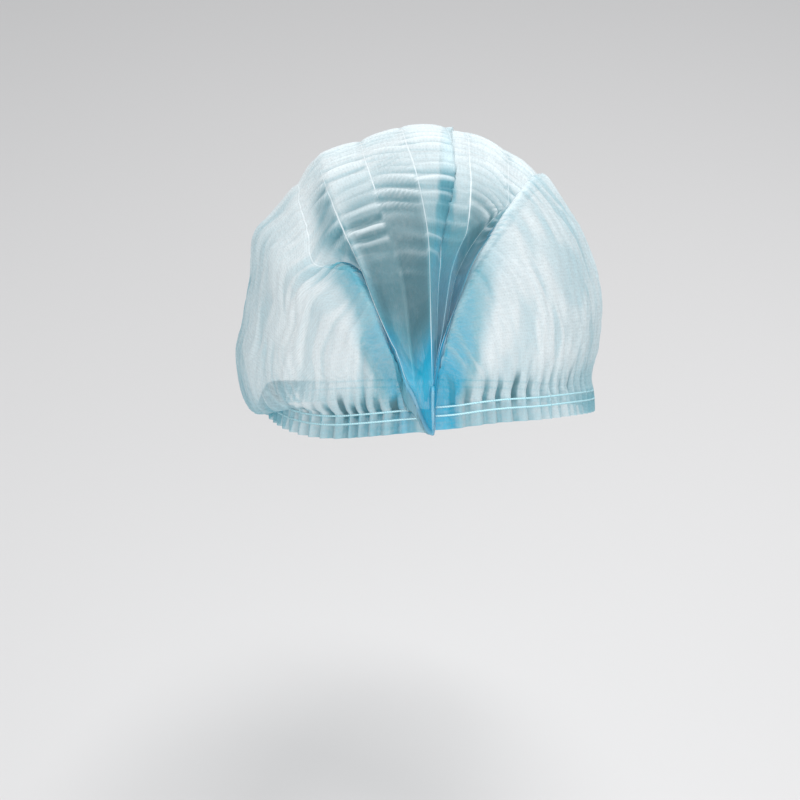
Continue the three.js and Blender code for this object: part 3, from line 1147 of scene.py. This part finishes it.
    def folded(self, s: np.ndarray, w: np.ndarray, wrinkled: bool = True) -> np.ndarray:
        """Puts flat places of the sheet on the form.

        Args:
            s: Distances along the sheet, one for each column.
            w: Distances across it, as a table with a row for each column.
            wrinkled: Whether its gathers and wrinkles push it out.

        Returns:
            Points in the loop's frame, with x, y and z on the last axis.
        """
        place = np.broadcast_to(self.place(s)[:, None], w.shape)
        inner = np.clip(w, self.hem, self.width - self.hem)
        share, depth = self.across(s, inner)[:2]
        points = self.dome.point(self.dome.angle_at(share), place)
        square = points / np.array(self.dome.egg) ** 2
        square /= np.linalg.norm(square, axis=-1, keepdims=True)
        points = points - self.dome.outwards(points, place) * depth[..., None]
        raised = np.maximum(points[..., 2], self.lowest)
        points[..., 2] = np.where(depth > 0.1, raised, points[..., 2])
        if wrinkled:
            points += square * self.relief(s[:, None], w).push[..., None]
        apron = smooth(self.apron_end, 0, place) * smooth(self.hem, self.hem + 3, w)
        apron = apron * smooth(self.middle_ridge.flat, self.right_ridge.flat, w)
        points[..., 2] -= self.apron * apron
        points[..., 1] -= self.apron_forwards * apron * (place < 0.5)
        below = np.abs(w - inner)
        points += square * [1, 1, 0] * (self.hem_flare * below / self.hem)[..., None]
        points[..., 2] -= below
        at_weld = smooth(self.stack_end, 0, np.minimum(place, 1 - place))
        points[..., 0] += self.stack * (w / self.width - 0.5) * at_weld
        return points

    def pressed(self, s: np.ndarray, w: np.ndarray) -> np.ndarray:
        """How clearly the pressed creases' worn lines show: in the fan, and hardly on the side
        panels; near the forehead and along the left ridge they are brightened partly as painted
        highlight.
        """
        place = self.place(s)[:, None]

        def by(*creases: float) -> np.ndarray:
            return sum(smooth(9, 5, np.abs(w - crease)) for crease in creases)

        worn = 0.7 + 0.3 * self.worn(s[:, None], w)
        # The main creases' worn lines are brighter near the forehead, partly as painted highlight.
        worn = worn * (1 + 0.9 * by(*self.main_creases) * smooth(0.16, 0.06, place))
        # Painted highlight along the left ridge over the crown.
        worn = worn * (1 + by(self.left_ridge.flat) * Span(0.16, 0.24, 0.36, 0.5)(place))
        flattened = smooth(14, 8, np.abs(w - self.flattened_crease)) * smooth(0.29, 0.25, place)
        shown = mix(0.12, 1, self.pressed_fan(w)) * mix(1, 0.6, smooth(0.3, 0.5, place))
        return worn * shown * (1 - flattened)

    def edge_line(self, s: np.ndarray, w: float, out: float) -> np.ndarray:
        """The smooth line that a row of stitching follows, past the gathers' mean.

        Args:
            s: Distances along the sheet.
            w: The line's distance across it.
            out: How far outside the gathers' mean the line lies.

        Returns:
            Points in the loop's frame.
        """
        points = self.folded(s, np.full((len(s), 1), float(w)), wrinkled=False)[:, 0]
        away = points / np.array([self.dome.egg[0], self.dome.egg[1], np.inf]) ** 2
        return points + out * away / np.linalg.norm(away, axis=1, keepdims=True)

    def flat_rows(self) -> np.ndarray:
        """The distances across the sheet of its rows of points, with one on every crease."""
        edge = np.arange(0, self.panel, 2.0)
        middle = np.linspace(self.panel, self.width - self.panel, (self.panels - 2) * 10 + 1)
        return np.concatenate([edge, middle, self.width - edge[::-1]])

    def build(self, name: str) -> bpy.types.Object:
        """Makes the sheet as a mesh on the form, with its flat places as its UV map.

        Args:
            name: The object's name.

        Returns:
            The object, in metres in the upright frame.
        """
        w = self.flat_rows()
        s = np.linspace(self.fused, self.length - self.fused, self.columns + 1)
        table = np.tile(w, (len(s), 1))
        points = self.dome.upright(self.folded(s, table))
        packed, edge = self.across(s, np.clip(table, self.hem, self.width - self.hem))[2:]
        relief = self.relief(s[:, None], table)
        # Besides the layers, the packed share takes the folds' pinching, part of which is painted
        # shade; two further shares carry painted highlight and painted shade.
        shades = {
            "packed": np.clip(packed + relief.pinch_and_shade, 0, 1),
            "painted_highlight": np.clip(relief.painted_highlight + edge, 0, 1),
            "pressed": np.clip(self.pressed(s, table), 0, 2),
            "deep": np.clip(relief.deep, 0, 1),
        }
        bm = bmesh.new()
        bmesh.ops.create_grid(bm, x_segments=len(w) - 1, y_segments=self.columns, size=0.5)
        uv = bm.loops.layers.uv.new("flat")
        layers = {shade: bm.verts.layers.float.new(shade) for shade in shades}
        for vert in bm.verts:
            j = round((vert.co.x + 0.5) * (len(w) - 1))
            i = round((vert.co.y + 0.5) * self.columns)
            vert.co = points[i, j]
            for shade, layer in layers.items():
                vert[layer] = shades[shade][i, j]
            for loop in vert.link_loops:
                loop[uv].uv = (s[i] * MM, w[j] * MM)
        return finished_mesh(name, bm)


def add_node(
    tree: bpy.types.NodeTree,
    kind: str,
    inputs: dict[str | int, object] | None = None,
    **settings: object,
) -> bpy.types.Node:
    """Adds a node with its settings, values and links.

    Args:
        tree: The material's node tree.
        kind: The node's type.
        inputs: For each input, by its name or number, a value, the output that it is linked to,
            or the node whose first output that is.
        **settings: The node's own settings.

    Returns:
        The node.
    """
    made = tree.nodes.new(kind)
    for name, value in settings.items():
        setattr(made, name, value)
    for key, value in (inputs or {}).items():
        if isinstance(value, bpy.types.Node):
            value = value.outputs[0]
        if isinstance(value, bpy.types.NodeSocket):
            tree.links.new(value, made.inputs[key])
        else:
            made.inputs[key].default_value = value
    return made


def new_material(name: str) -> tuple[bpy.types.Material, AddNode, bpy.types.Node]:
    """Makes an empty material.

    Args:
        name: The material's name.

    Returns:
        The material, add_node for its tree, and its output node.
    """
    material = bpy.data.materials.new(name)
    material.use_nodes = True
    material.node_tree.nodes.clear()
    add = partial(add_node, material.node_tree)
    return material, add, add("ShaderNodeOutputMaterial")


@dataclass(frozen=True)
class SpunbondFinish:
    """Spunbonded polypropylene: molten fibres laid at random, then pressed together in small points.

    To the eye it is a cloudy, faintly dotted veil, pale in one layer and deep blue in a stack.

    Attributes:
        name: The material's name.
        veil: The colour of the fibres in an open layer.
        layered: Their colour where a few layers lie together.
        packed: Their colour where pleats are packed side by side.
        worn_crease_and_highlight: The paler colour of fibres that have been folded, which is also
            the colour of the painted highlights.
        painted_shade_colour: The colour of the painted shade between the gathers, in the crinkles'
            troughs, in the fan's valley and beside its first ridge.
        cover: The share of the light that one layer stops.
        packed_cover: How much more of it packed pleats stop, and the painted shade too.
        crease_cover: How much more of it a pressed crease stops, and a painted highlight too.
        bond_pitch: The distance between bond points.
        bond_edge: How far from its middle a point ends and is whole, as shares of bond_pitch.
        panel: The distance between pressed creases.
        crease_width: Half the width of a crease's worn line where it shows most.
    """

    name: str
    veil: str = "EFF8FA"
    layered: str = "68B4C4"
    packed: str = "1FB0D3"
    worn_crease_and_highlight: str = "F6FCFE"
    painted_shade_colour: str = "5B818A"
    cover: float = 0.52
    packed_cover: float = 0.36
    crease_cover: float = 0.25
    bond_pitch: float = 1.6 * MM
    bond_edge: tuple[float, float] = (0.34, 0.24)
    panel: float = 22 * MM
    crease_width: float = 0.55 * MM

    def build(self) -> bpy.types.Material:
        """Wires the material up.

        Returns:
            The material.
        """
        material, add, output = new_material(self.name)
        flat = add("ShaderNodeUVMap", uv_map="flat")
        # The shares read here are painted highlight, the packing of the layers, and painted shade.
        painted_highlight, packed, deep = (
            add("ShaderNodeAttribute", attribute_name=shade).outputs["Fac"]
            for shade in ("painted_highlight", "packed", "deep")
        )
        pressed = self._pressed(add, flat)
        # The pressed creases' worn lines, together with the painted highlights.
        crease = add("ShaderNodeMath", {0: painted_highlight, 1: pressed}, operation="MAXIMUM")
        fibres, bonds = self._fibres(add, flat), self._bonds(add, flat)
        thin, thick = 0.8 * self.cover, 1.2 * self.cover
        cover = add("ShaderNodeMapRange", {0: fibres, 1: 0.3, 2: 0.7, 3: thin, 4: thick})
        for shade, stopped in (
            (crease, self.crease_cover),
            (bonds, -0.1 * self.cover),
            (packed, self.packed_cover),
            (deep, self.packed_cover),
        ):
            more = {0: shade, 1: stopped, 2: cover}
            cover = add("ShaderNodeMath", more, operation="MULTIPLY_ADD")
        colour = srgb(self.veil)
        # Layers tint the veil first; painted shade and then painted highlight are mixed in over it.
        for shade, first, last, tint in (
            (packed, 0, 0.45, self.layered),
            (packed, 0.5, 0.95, self.packed),
            (deep, 0, 1, self.painted_shade_colour),
            (crease, 0, 1, self.worn_crease_and_highlight),
        ):
            share = add("ShaderNodeMapRange", {0: shade, 1: first, 2: last})
            mixed = {0: share, FIRST_COLOUR: colour, SECOND_COLOUR: srgb(tint)}
            colour = add("ShaderNodeMix", mixed, data_type="RGBA").outputs[MIXED_COLOUR]
        height = add("ShaderNodeMath", {0: bonds, 1: -0.6, 2: fibres}, operation="MULTIPLY_ADD")
        bump = add("ShaderNodeBump", {"Strength": 0.25, "Distance": 0.1 * MM, "Height": height})
        sheen = {"Sheen Weight": 0.25, "Sheen Roughness": 0.4}
        face = {"Base Color": colour, "Roughness": 0.5, "IOR": 1.49, "Normal": bump} | sheen
        front = add("ShaderNodeBsdfPrincipled", face)
        through = add("ShaderNodeBsdfTranslucent", {"Color": colour, "Normal": bump})
        cloth = add("ShaderNodeMixShader", {0: 0.5, 1: front, 2: through})
        open_air = add("ShaderNodeBsdfTransparent", {"Color": (1, 1, 1, 1)})
        veil = add("ShaderNodeMixShader", {0: cover, 1: open_air, 2: cloth})
        material.node_tree.links.new(veil.outputs[0], output.inputs["Surface"])
        return material

    def _pressed(self, add: AddNode, flat: bpy.types.Node) -> bpy.types.Node:
        """The thin lines of the pleats' pressed creases: worn fibre, brightened in places as painted
        highlight.
        """
        shown = add("ShaderNodeAttribute", attribute_name="pressed").outputs["Fac"]
        across = add("ShaderNodeSeparateXYZ", {0: flat}).outputs["Y"]
        away, width, strength = (
            add("ShaderNodeMath", inputs, operation=operation)
            for operation, inputs in (
                ("PINGPONG", {0: across, 1: self.panel / 2}),
                ("MULTIPLY_ADD", {0: shown, 1: self.crease_width, 2: 0.2 * self.crease_width}),
                ("MINIMUM", {0: shown, 1: 0.9}),
            )
        )
        off = add("ShaderNodeMath", {0: away, 1: width}, operation="DIVIDE")
        line = add("ShaderNodeMapRange", {0: off, 1: 1, 2: 0.3, 3: 0, 4: 1})
        return add("ShaderNodeMath", {0: line, 1: strength}, operation="MULTIPLY")

    def _fibres(self, add: AddNode, flat: bpy.types.Node) -> bpy.types.Node:
        """The uneven, cloudy laydown of the fibres, drawn out along the sheet."""
        stretched = add("ShaderNodeMapping", {0: flat, "Scale": (300, 520, 1)})
        clouds = {"Vector": stretched, "Scale": 1, "Detail": 4, "Roughness": 0.62}
        return add("ShaderNodeTexNoise", clouds)

    def _bonds(self, add: AddNode, flat: bpy.types.Node) -> bpy.types.Node:
        """The rows of small pressed bond points, each 1 at its middle."""
        rows = {"Vector": flat, "Scale": 1 / self.bond_pitch, "Randomness": 0.12}
        cell = add("ShaderNodeTexVoronoi", rows, voronoi_dimensions="2D")
        outer, inner = self.bond_edge
        return add("ShaderNodeMapRange", {0: cell, 1: outer, 2: inner, 3: 0, 4: 1})


@dataclass(frozen=True)
class ElasticFinish:
    """Elastic thread: rubber covered by winding crimped yarn round it.

    To the eye it is matt and pale, with slanted turns of yarn.

    Attributes:
        name: The material's name.
        yarn: The colour of the yarn.
        shade: The colour of the painted shade between two turns.
        winding: The distance from turn to turn.
        slant: The turns' angle in radians.
    """

    name: str
    yarn: str = "BCDFE6"
    shade: str = "8FC3CE"
    winding: float = 0.9 * MM
    slant: float = 0.6

    def build(self) -> bpy.types.Material:
        """Wires the material up.

        Returns:
            The material.
        """
        material, add, output = new_material(self.name)
        flat = add("ShaderNodeUVMap", uv_map="flat")
        slanted = add("ShaderNodeMapping", {0: flat, "Rotation": (0, 0, self.slant)})
        turns = {"Vector": slanted, "Scale": METRE_BANDS / self.winding, "Distortion": 0.6}
        wound = add("ShaderNodeTexWave", turns).outputs["Fac"]
        # The yarn's colour, with painted shade between its turns.
        mixed = {0: wound, FIRST_COLOUR: srgb(self.shade), SECOND_COLOUR: srgb(self.yarn)}
        colour = add("ShaderNodeMix", mixed, data_type="RGBA").outputs[MIXED_COLOUR]
        bump = add("ShaderNodeBump", {"Strength": 0.5, "Distance": 0.1 * MM, "Height": wound})
        matt = {"Base Color": colour, "Roughness": 0.6, "IOR": 1.5, "Normal": bump}
        thread = add("ShaderNodeBsdfPrincipled", matt)
        material.node_tree.links.new(thread.outputs[0], output.inputs["Surface"])
        return material


@dataclass(frozen=True)
class WeldFinish:
    """Hot-pressed polypropylene: pleats melted together between heated bars.

    To the eye it is a smooth blue film, glossier than the cloth, with the bars' marks across it.

    Attributes:
        name: The material's name.
        film: The colour of the film.
        crest: Its paler colour along the crest.
        crest_edge: How far from the elastic loop's end that starts and is full.
        bar_pitch: The distance between two bars' marks.
    """

    name: str
    film: str = "3DB7D8"
    crest: str = "A9E2F2"
    crest_edge: tuple[float, float] = (5 * MM, 8 * MM)
    bar_pitch: float = 1.3 * MM

    def build(self) -> bpy.types.Material:
        """Wires the material up.

        Returns:
            The material.
        """
        material, add, output = new_material(self.name)
        flat = add("ShaderNodeUVMap", uv_map="flat")
        proud = add("ShaderNodeSeparateXYZ", {0: flat}).outputs["X"]
        marks = {"Vector": flat, "Scale": METRE_BANDS / self.bar_pitch, "Distortion": 0.3}
        bars = add("ShaderNodeTexWave", marks, bands_direction="Y").outputs["Fac"]
        low, high = self.crest_edge
        edge = add("ShaderNodeMapRange", {0: proud, 1: low, 2: high})
        mixed = {0: edge, FIRST_COLOUR: srgb(self.film), SECOND_COLOUR: srgb(self.crest)}
        colour = add("ShaderNodeMix", mixed, data_type="RGBA").outputs[MIXED_COLOUR]
        bump = add("ShaderNodeBump", {"Strength": 0.6, "Distance": 0.15 * MM, "Height": bars})
        glossy = {"Base Color": colour, "Roughness": 0.32, "IOR": 1.49, "Normal": bump}
        film = add("ShaderNodeBsdfPrincipled", glossy)
        through = add("ShaderNodeBsdfTranslucent", {"Color": colour, "Normal": bump})
        solid = add("ShaderNodeMixShader", {0: 0.4, 1: film, 2: through})
        open_air = add("ShaderNodeBsdfTransparent", {"Color": (1, 1, 1, 1)})
        fin = add("ShaderNodeMixShader", {0: 0.6, 1: open_air, 2: solid})
        material.node_tree.links.new(fin.outputs[0], output.inputs["Surface"])
        return material


def tube(name: str, route: np.ndarray, radius: float, facets: int) -> bpy.types.Object:
    """Makes a closed tube, whose UV map runs along it and round it in metres.

    Args:
        name: The object's name.
        route: The points along its middle, in metres.
        radius: Half its thickness, in metres.
        facets: The number of its sides.

    Returns:
        The object.
    """
    stops = len(route) - 1
    ahead = np.gradient(route, axis=0)
    turns = [Vector(direction).to_track_quat("Z", "Y") for direction in ahead]
    steps = np.linalg.norm(np.diff(route, axis=0), axis=1)
    lengths = np.concatenate([[0], np.cumsum(steps)])
    bm = bmesh.new()
    bmesh.ops.create_grid(bm, x_segments=facets, y_segments=stops, size=0.5)
    uv = bm.loops.layers.uv.new("flat")
    for vert in bm.verts:
        around = 2 * math.pi * (vert.co.x + 0.5)
        stop = round((vert.co.y + 0.5) * stops)
        for loop in vert.link_loops:
            loop[uv].uv = (lengths[stop], around * radius)
        spoke = Vector((math.cos(around), math.sin(around), 0)) * radius
        vert.co = Vector(route[stop]) + turns[stop] @ spoke
    bmesh.ops.remove_doubles(bm, verts=bm.verts, dist=radius / 100)
    bmesh.ops.holes_fill(bm, edges=[edge for edge in bm.edges if edge.is_boundary])
    bmesh.ops.recalc_face_normals(bm, faces=bm.faces)
    return finished_mesh(name, bm)


@dataclass
class ElasticThread:
    """One elastic thread, laid along a line of the sheet's edge from weld to weld.

    Attributes:
        sheet: The sheet that it is sewn to.
        side: The edge that it runs along.
        distance: Its distance from the sheet's free edge.
        finish: What it is made of.
        radius: Half its thickness.
        out: How far outside the gathers' mean its middle lies.
        stops: The number of steps along it.
        facets: The number of its sides.
    """

    sheet: PleatedSheet
    side: Side
    distance: float
    finish: bpy.types.Material
    radius: float = 0.42
    out: float = 1.8
    stops: int = 220
    facets: int = 8

    def build(self, name: str) -> bpy.types.Object:
        """Makes the thread in place of its node.

        Args:
            name: The name of the node.

        Returns:
            The object.
        """
        s = np.linspace(self.sheet.fused, self.sheet.length - self.sheet.fused, self.stops + 1)
        w = self.distance if self.side is Side.RIGHT else self.sheet.width - self.distance
        route = self.sheet.dome.upright(self.sheet.edge_line(s, w, self.out))
        thread = tube(f"{name}_thread", route, self.radius * MM, self.facets)
        thread.data.materials.append(self.finish)
        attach(thread, "root")
        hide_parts(name)
        return thread


@dataclass(frozen=True)
class FinPoint:
    """A height on a weld's fin, and how far its two edges stand past the elastic loop's end."""

    up: float
    inner: float
    outer: float


@dataclass
class Weld:
    """The fin at an end of the pleats, where they are melted together side by side.

    Attributes:
        dome: The form that the pleats are on.
        end: Which end this is.
        finish: What it is made of.
        thickness: Its thickness where the pleats enter it.
        edge: Its thickness at its crest.
        shape: Its outline from below, as heights in order.
        tapers: The shares of its height over which it thins towards its two points.
        arch_height: The height over which it follows the crown's swell.
        cuts: How often its sides are divided.
    """

    dome: Dome
    end: End
    finish: bpy.types.Material
    thickness: float = 3.0
    edge: float = 1.1
    shape: tuple[FinPoint, ...] = (
        FinPoint(-11.5, -2.5, 1.5),
        FinPoint(-9.5, -2.5, 5),
        FinPoint(0, -0.5, 8),
        FinPoint(7, 2, 8.5),
        FinPoint(10.5, 4, 6),
    )
    tapers: Span = Span(-0.25, 0.2, 0.85, 1.2)
    arch_height: float = 14
    cuts: int = 11

    def build(self, name: str) -> bpy.types.Object:
        """Makes the fin in place of its node.

        Args:
            name: The name of the node.

        Returns:
            The object.
        """
        bm = bmesh.new()
        bmesh.ops.create_cube(bm, size=1)
        bmesh.ops.subdivide_edges(bm, edges=bm.edges, cuts=self.cuts, use_grid_fill=True)
        uv = bm.loops.layers.uv.new("flat")
        heights = [point.up for point in self.shape]
        crown_swell = self.dome.front_swell if self.end is End.FRONT else self.dome.back_swell
        for vert in bm.verts:
            across, proud, up = vert.co.x * 2, vert.co.y + 0.5, vert.co.z + 0.5
            height = mix(heights[0], heights[-1], up)
            inner = np.interp(height, heights, [point.inner for point in self.shape])
            outer = np.interp(height, heights, [point.outer for point in self.shape])
            reach = mix(inner, outer, proud)
            for loop in vert.link_loops:
                loop[uv].uv = (reach * MM, height * MM)
            half = mix(self.thickness, self.edge, smooth(0, 1, proud)) / 2 * self.tapers(up)
            ends = self.dome.half_length + crown_swell * max(0.0, height / self.arch_height)
            place = np.array([across * half, self.end.value * (ends + reach), height])
            vert.co = self.dome.upright(place)
        bmesh.ops.recalc_face_normals(bm, faces=bm.faces)
        fin = finished_mesh(f"{name}_fin", bm)
        fin.data.materials.append(self.finish)
        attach(fin, "root")
        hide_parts(name)
        return fin


@dataclass
class Cap:
    """The whole cap: its sheet cut at the elastic into crown and hems, its threads and welds.

    Attributes:
        sheet: The pleated sheet.
        thread_distances: Each thread's name and its distance from the sheet's free edge.
    """

    sheet: PleatedSheet = field(default_factory=PleatedSheet)
    thread_distances: tuple[tuple[str, float], ...] = (("upper", 10), ("lower", 6.2))

    def build(self) -> None:
        """Makes every piece of the cap."""
        self.build_sheet(SpunbondFinish("spunbonded_polypropylene").build())
        elastic = ElasticFinish("yarn_covered_elastic").build()
        for side in Side:
            for level, distance in self.thread_distances:
                name = f"elastic_{side.name.lower()}_{level}"
                report(ElasticThread(self.sheet, side, distance, elastic).build(name))
        welded = WeldFinish("hot_pressed_polypropylene").build()
        for end in End:
            report(Weld(self.sheet.dome, end, welded).build(f"{end.name.lower()}_weld"))

    def build_sheet(self, spunbond: bpy.types.Material) -> None:
        """Makes the sheet, and parts it into the crown and the two hems.

        Args:
            spunbond: What it is made of.
        """
        whole = self.sheet.build("sheet")
        whole.data.materials.append(spunbond)
        edge = self.sheet.hem * MM
        far = (self.sheet.width - self.sheet.hem) * MM
        crown = part_of(whole, "crown_cloth", edge, far)
        hems = [
            part_of(whole, "hem_right_cloth", 0, edge),
            part_of(whole, "hem_left_cloth", far, self.sheet.width * MM),
        ]
        bpy.data.objects.remove(whole)
        for piece, node in zip([crown, *hems], ["crown", "hem_right", "hem_left"]):
            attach(piece, "root")
            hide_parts(node)
            report(piece)


def part_of(whole: bpy.types.Object, name: str, low: float, high: float) -> bpy.types.Object:
    """Copies the part of a sheet between two lines across it.

    Args:
        whole: The sheet.
        name: The new object's name.
        low: The distance across the sheet where the part starts, in metres.
        high: Where it ends.

    Returns:
        The part.
    """
    bm = bmesh.new()
    bm.from_mesh(whole.data)
    uv = bm.loops.layers.uv["flat"]
    outside = []
    for face in bm.faces:
        middle = sum(loop[uv].uv.y for loop in face.loops) / len(face.loops)
        if not low < middle < high:
            outside.append(face)
    bmesh.ops.delete(bm, geom=outside, context="FACES")
    part = finished_mesh(name, bm)
    for material in whole.data.materials:
        part.data.materials.append(material)
    return part


@dataclass(frozen=True)
class SoftLight:
    """A square soft light that faces the cap.

    Attributes:
        name: Its name.
        place: Where it stands.
        size: The length of its side.
        power: Its power in watts.
    """

    name: str
    place: tuple[float, float, float]
    size: float
    power: float

    def build(self) -> None:
        """Adds the light."""
        data = bpy.data.lights.new(self.name, "AREA")
        data.energy = self.power
        data.size = self.size * MM
        light = bpy.data.objects.new(self.name, data)
        light.location = Vector(self.place) * MM
        light.rotation_euler = (-light.location).to_track_quat("-Z", "Y").to_euler()
        bpy.context.collection.objects.link(light)


@dataclass
class Studio:
    """A pale floor, broad soft light and the camera.

    Attributes:
        pitch: The camera's angle below level.
        distance: Its distance from what it looks at.
        sensor: The width of its sensor.
        pixels: The width of the image.
        scale: Pixels to a millimetre, at the loop's centre.
        aim_right: How far right of the loop's centre it looks.
        aim_up: How far above it.
        floor: The floor's height.
        floor_half: Half its width, in metres.
        paper: The floor's colour.
        sky: The colour of the light from all round.
        sky_strength: The strength of that light.
        lights: The soft lights.
    """

    pitch: float = math.radians(40)
    distance: float = 970
    sensor: float = 36
    pixels: int = 800
    scale: float = 2.05
    aim_right: float = -14.1
    aim_up: float = -3.4
    floor: float = -300
    floor_half: float = 30
    paper: str = "D0CFCF"
    sky: str = "F4F6F8"
    sky_strength: float = 0.63
    lights: tuple[SoftLight, ...] = (
        SoftLight("overhead", (150, 300, 950), 350, 8),
        SoftLight("front_fill", (100, -850, 550), 900, 7.6),
    )

    def build(self) -> None:
        """Makes the floor, the lights and the camera."""
        bpy.context.scene.view_settings.view_transform = "Standard"
        self._floor()
        world = bpy.data.worlds.new("studio")
        world.use_nodes = True
        background = world.node_tree.nodes["Background"]
        background.inputs["Color"].default_value = srgb(self.sky)
        background.inputs["Strength"].default_value = self.sky_strength
        bpy.context.scene.world = world
        for light in self.lights:
            light.build()
        self._camera()

    def _floor(self) -> None:
        """Makes the floor, of matt uncoated paper: even and without gloss."""
        bm = bmesh.new()
        bmesh.ops.create_grid(bm, x_segments=1, y_segments=1, size=self.floor_half)
        bmesh.ops.translate(bm, verts=bm.verts, vec=(0, 0, self.floor * MM))
        floor = finished_mesh("floor", bm)
        material, add, output = new_material("uncoated_paper")
        paper = add("ShaderNodeBsdfPrincipled", {"Base Color": srgb(self.paper), "Roughness": 0.9})
        material.node_tree.links.new(paper.outputs[0], output.inputs["Surface"])
        floor.data.materials.append(material)

    def _camera(self) -> None:
        """Adds the camera."""
        data = bpy.data.cameras.new("camera")
        data.sensor_width = self.sensor
        data.lens = self.scale * self.distance * self.sensor / self.pixels
        camera = bpy.data.objects.new("camera", data)
        ahead = Vector((0, math.cos(self.pitch), -math.sin(self.pitch)))
        upwards = Vector((0, math.sin(self.pitch), math.cos(self.pitch)))
        aim = Vector((self.aim_right, 0, 0)) + self.aim_up * upwards
        camera.location = (aim - ahead * self.distance) * MM
        camera.rotation_euler = ahead.to_track_quat("-Z", "Y").to_euler()
        bpy.context.collection.objects.link(camera)
        bpy.context.scene.camera = camera


def report(piece: bpy.types.Object) -> None:
    """Logs a finished piece."""
    log.info("%s: %d faces", piece.name, len(piece.data.polygons))


def main() -> None:
    """Builds the cap and its studio."""
    Cap().build()
    Studio().build()


if __name__ == "__main__":
    main()
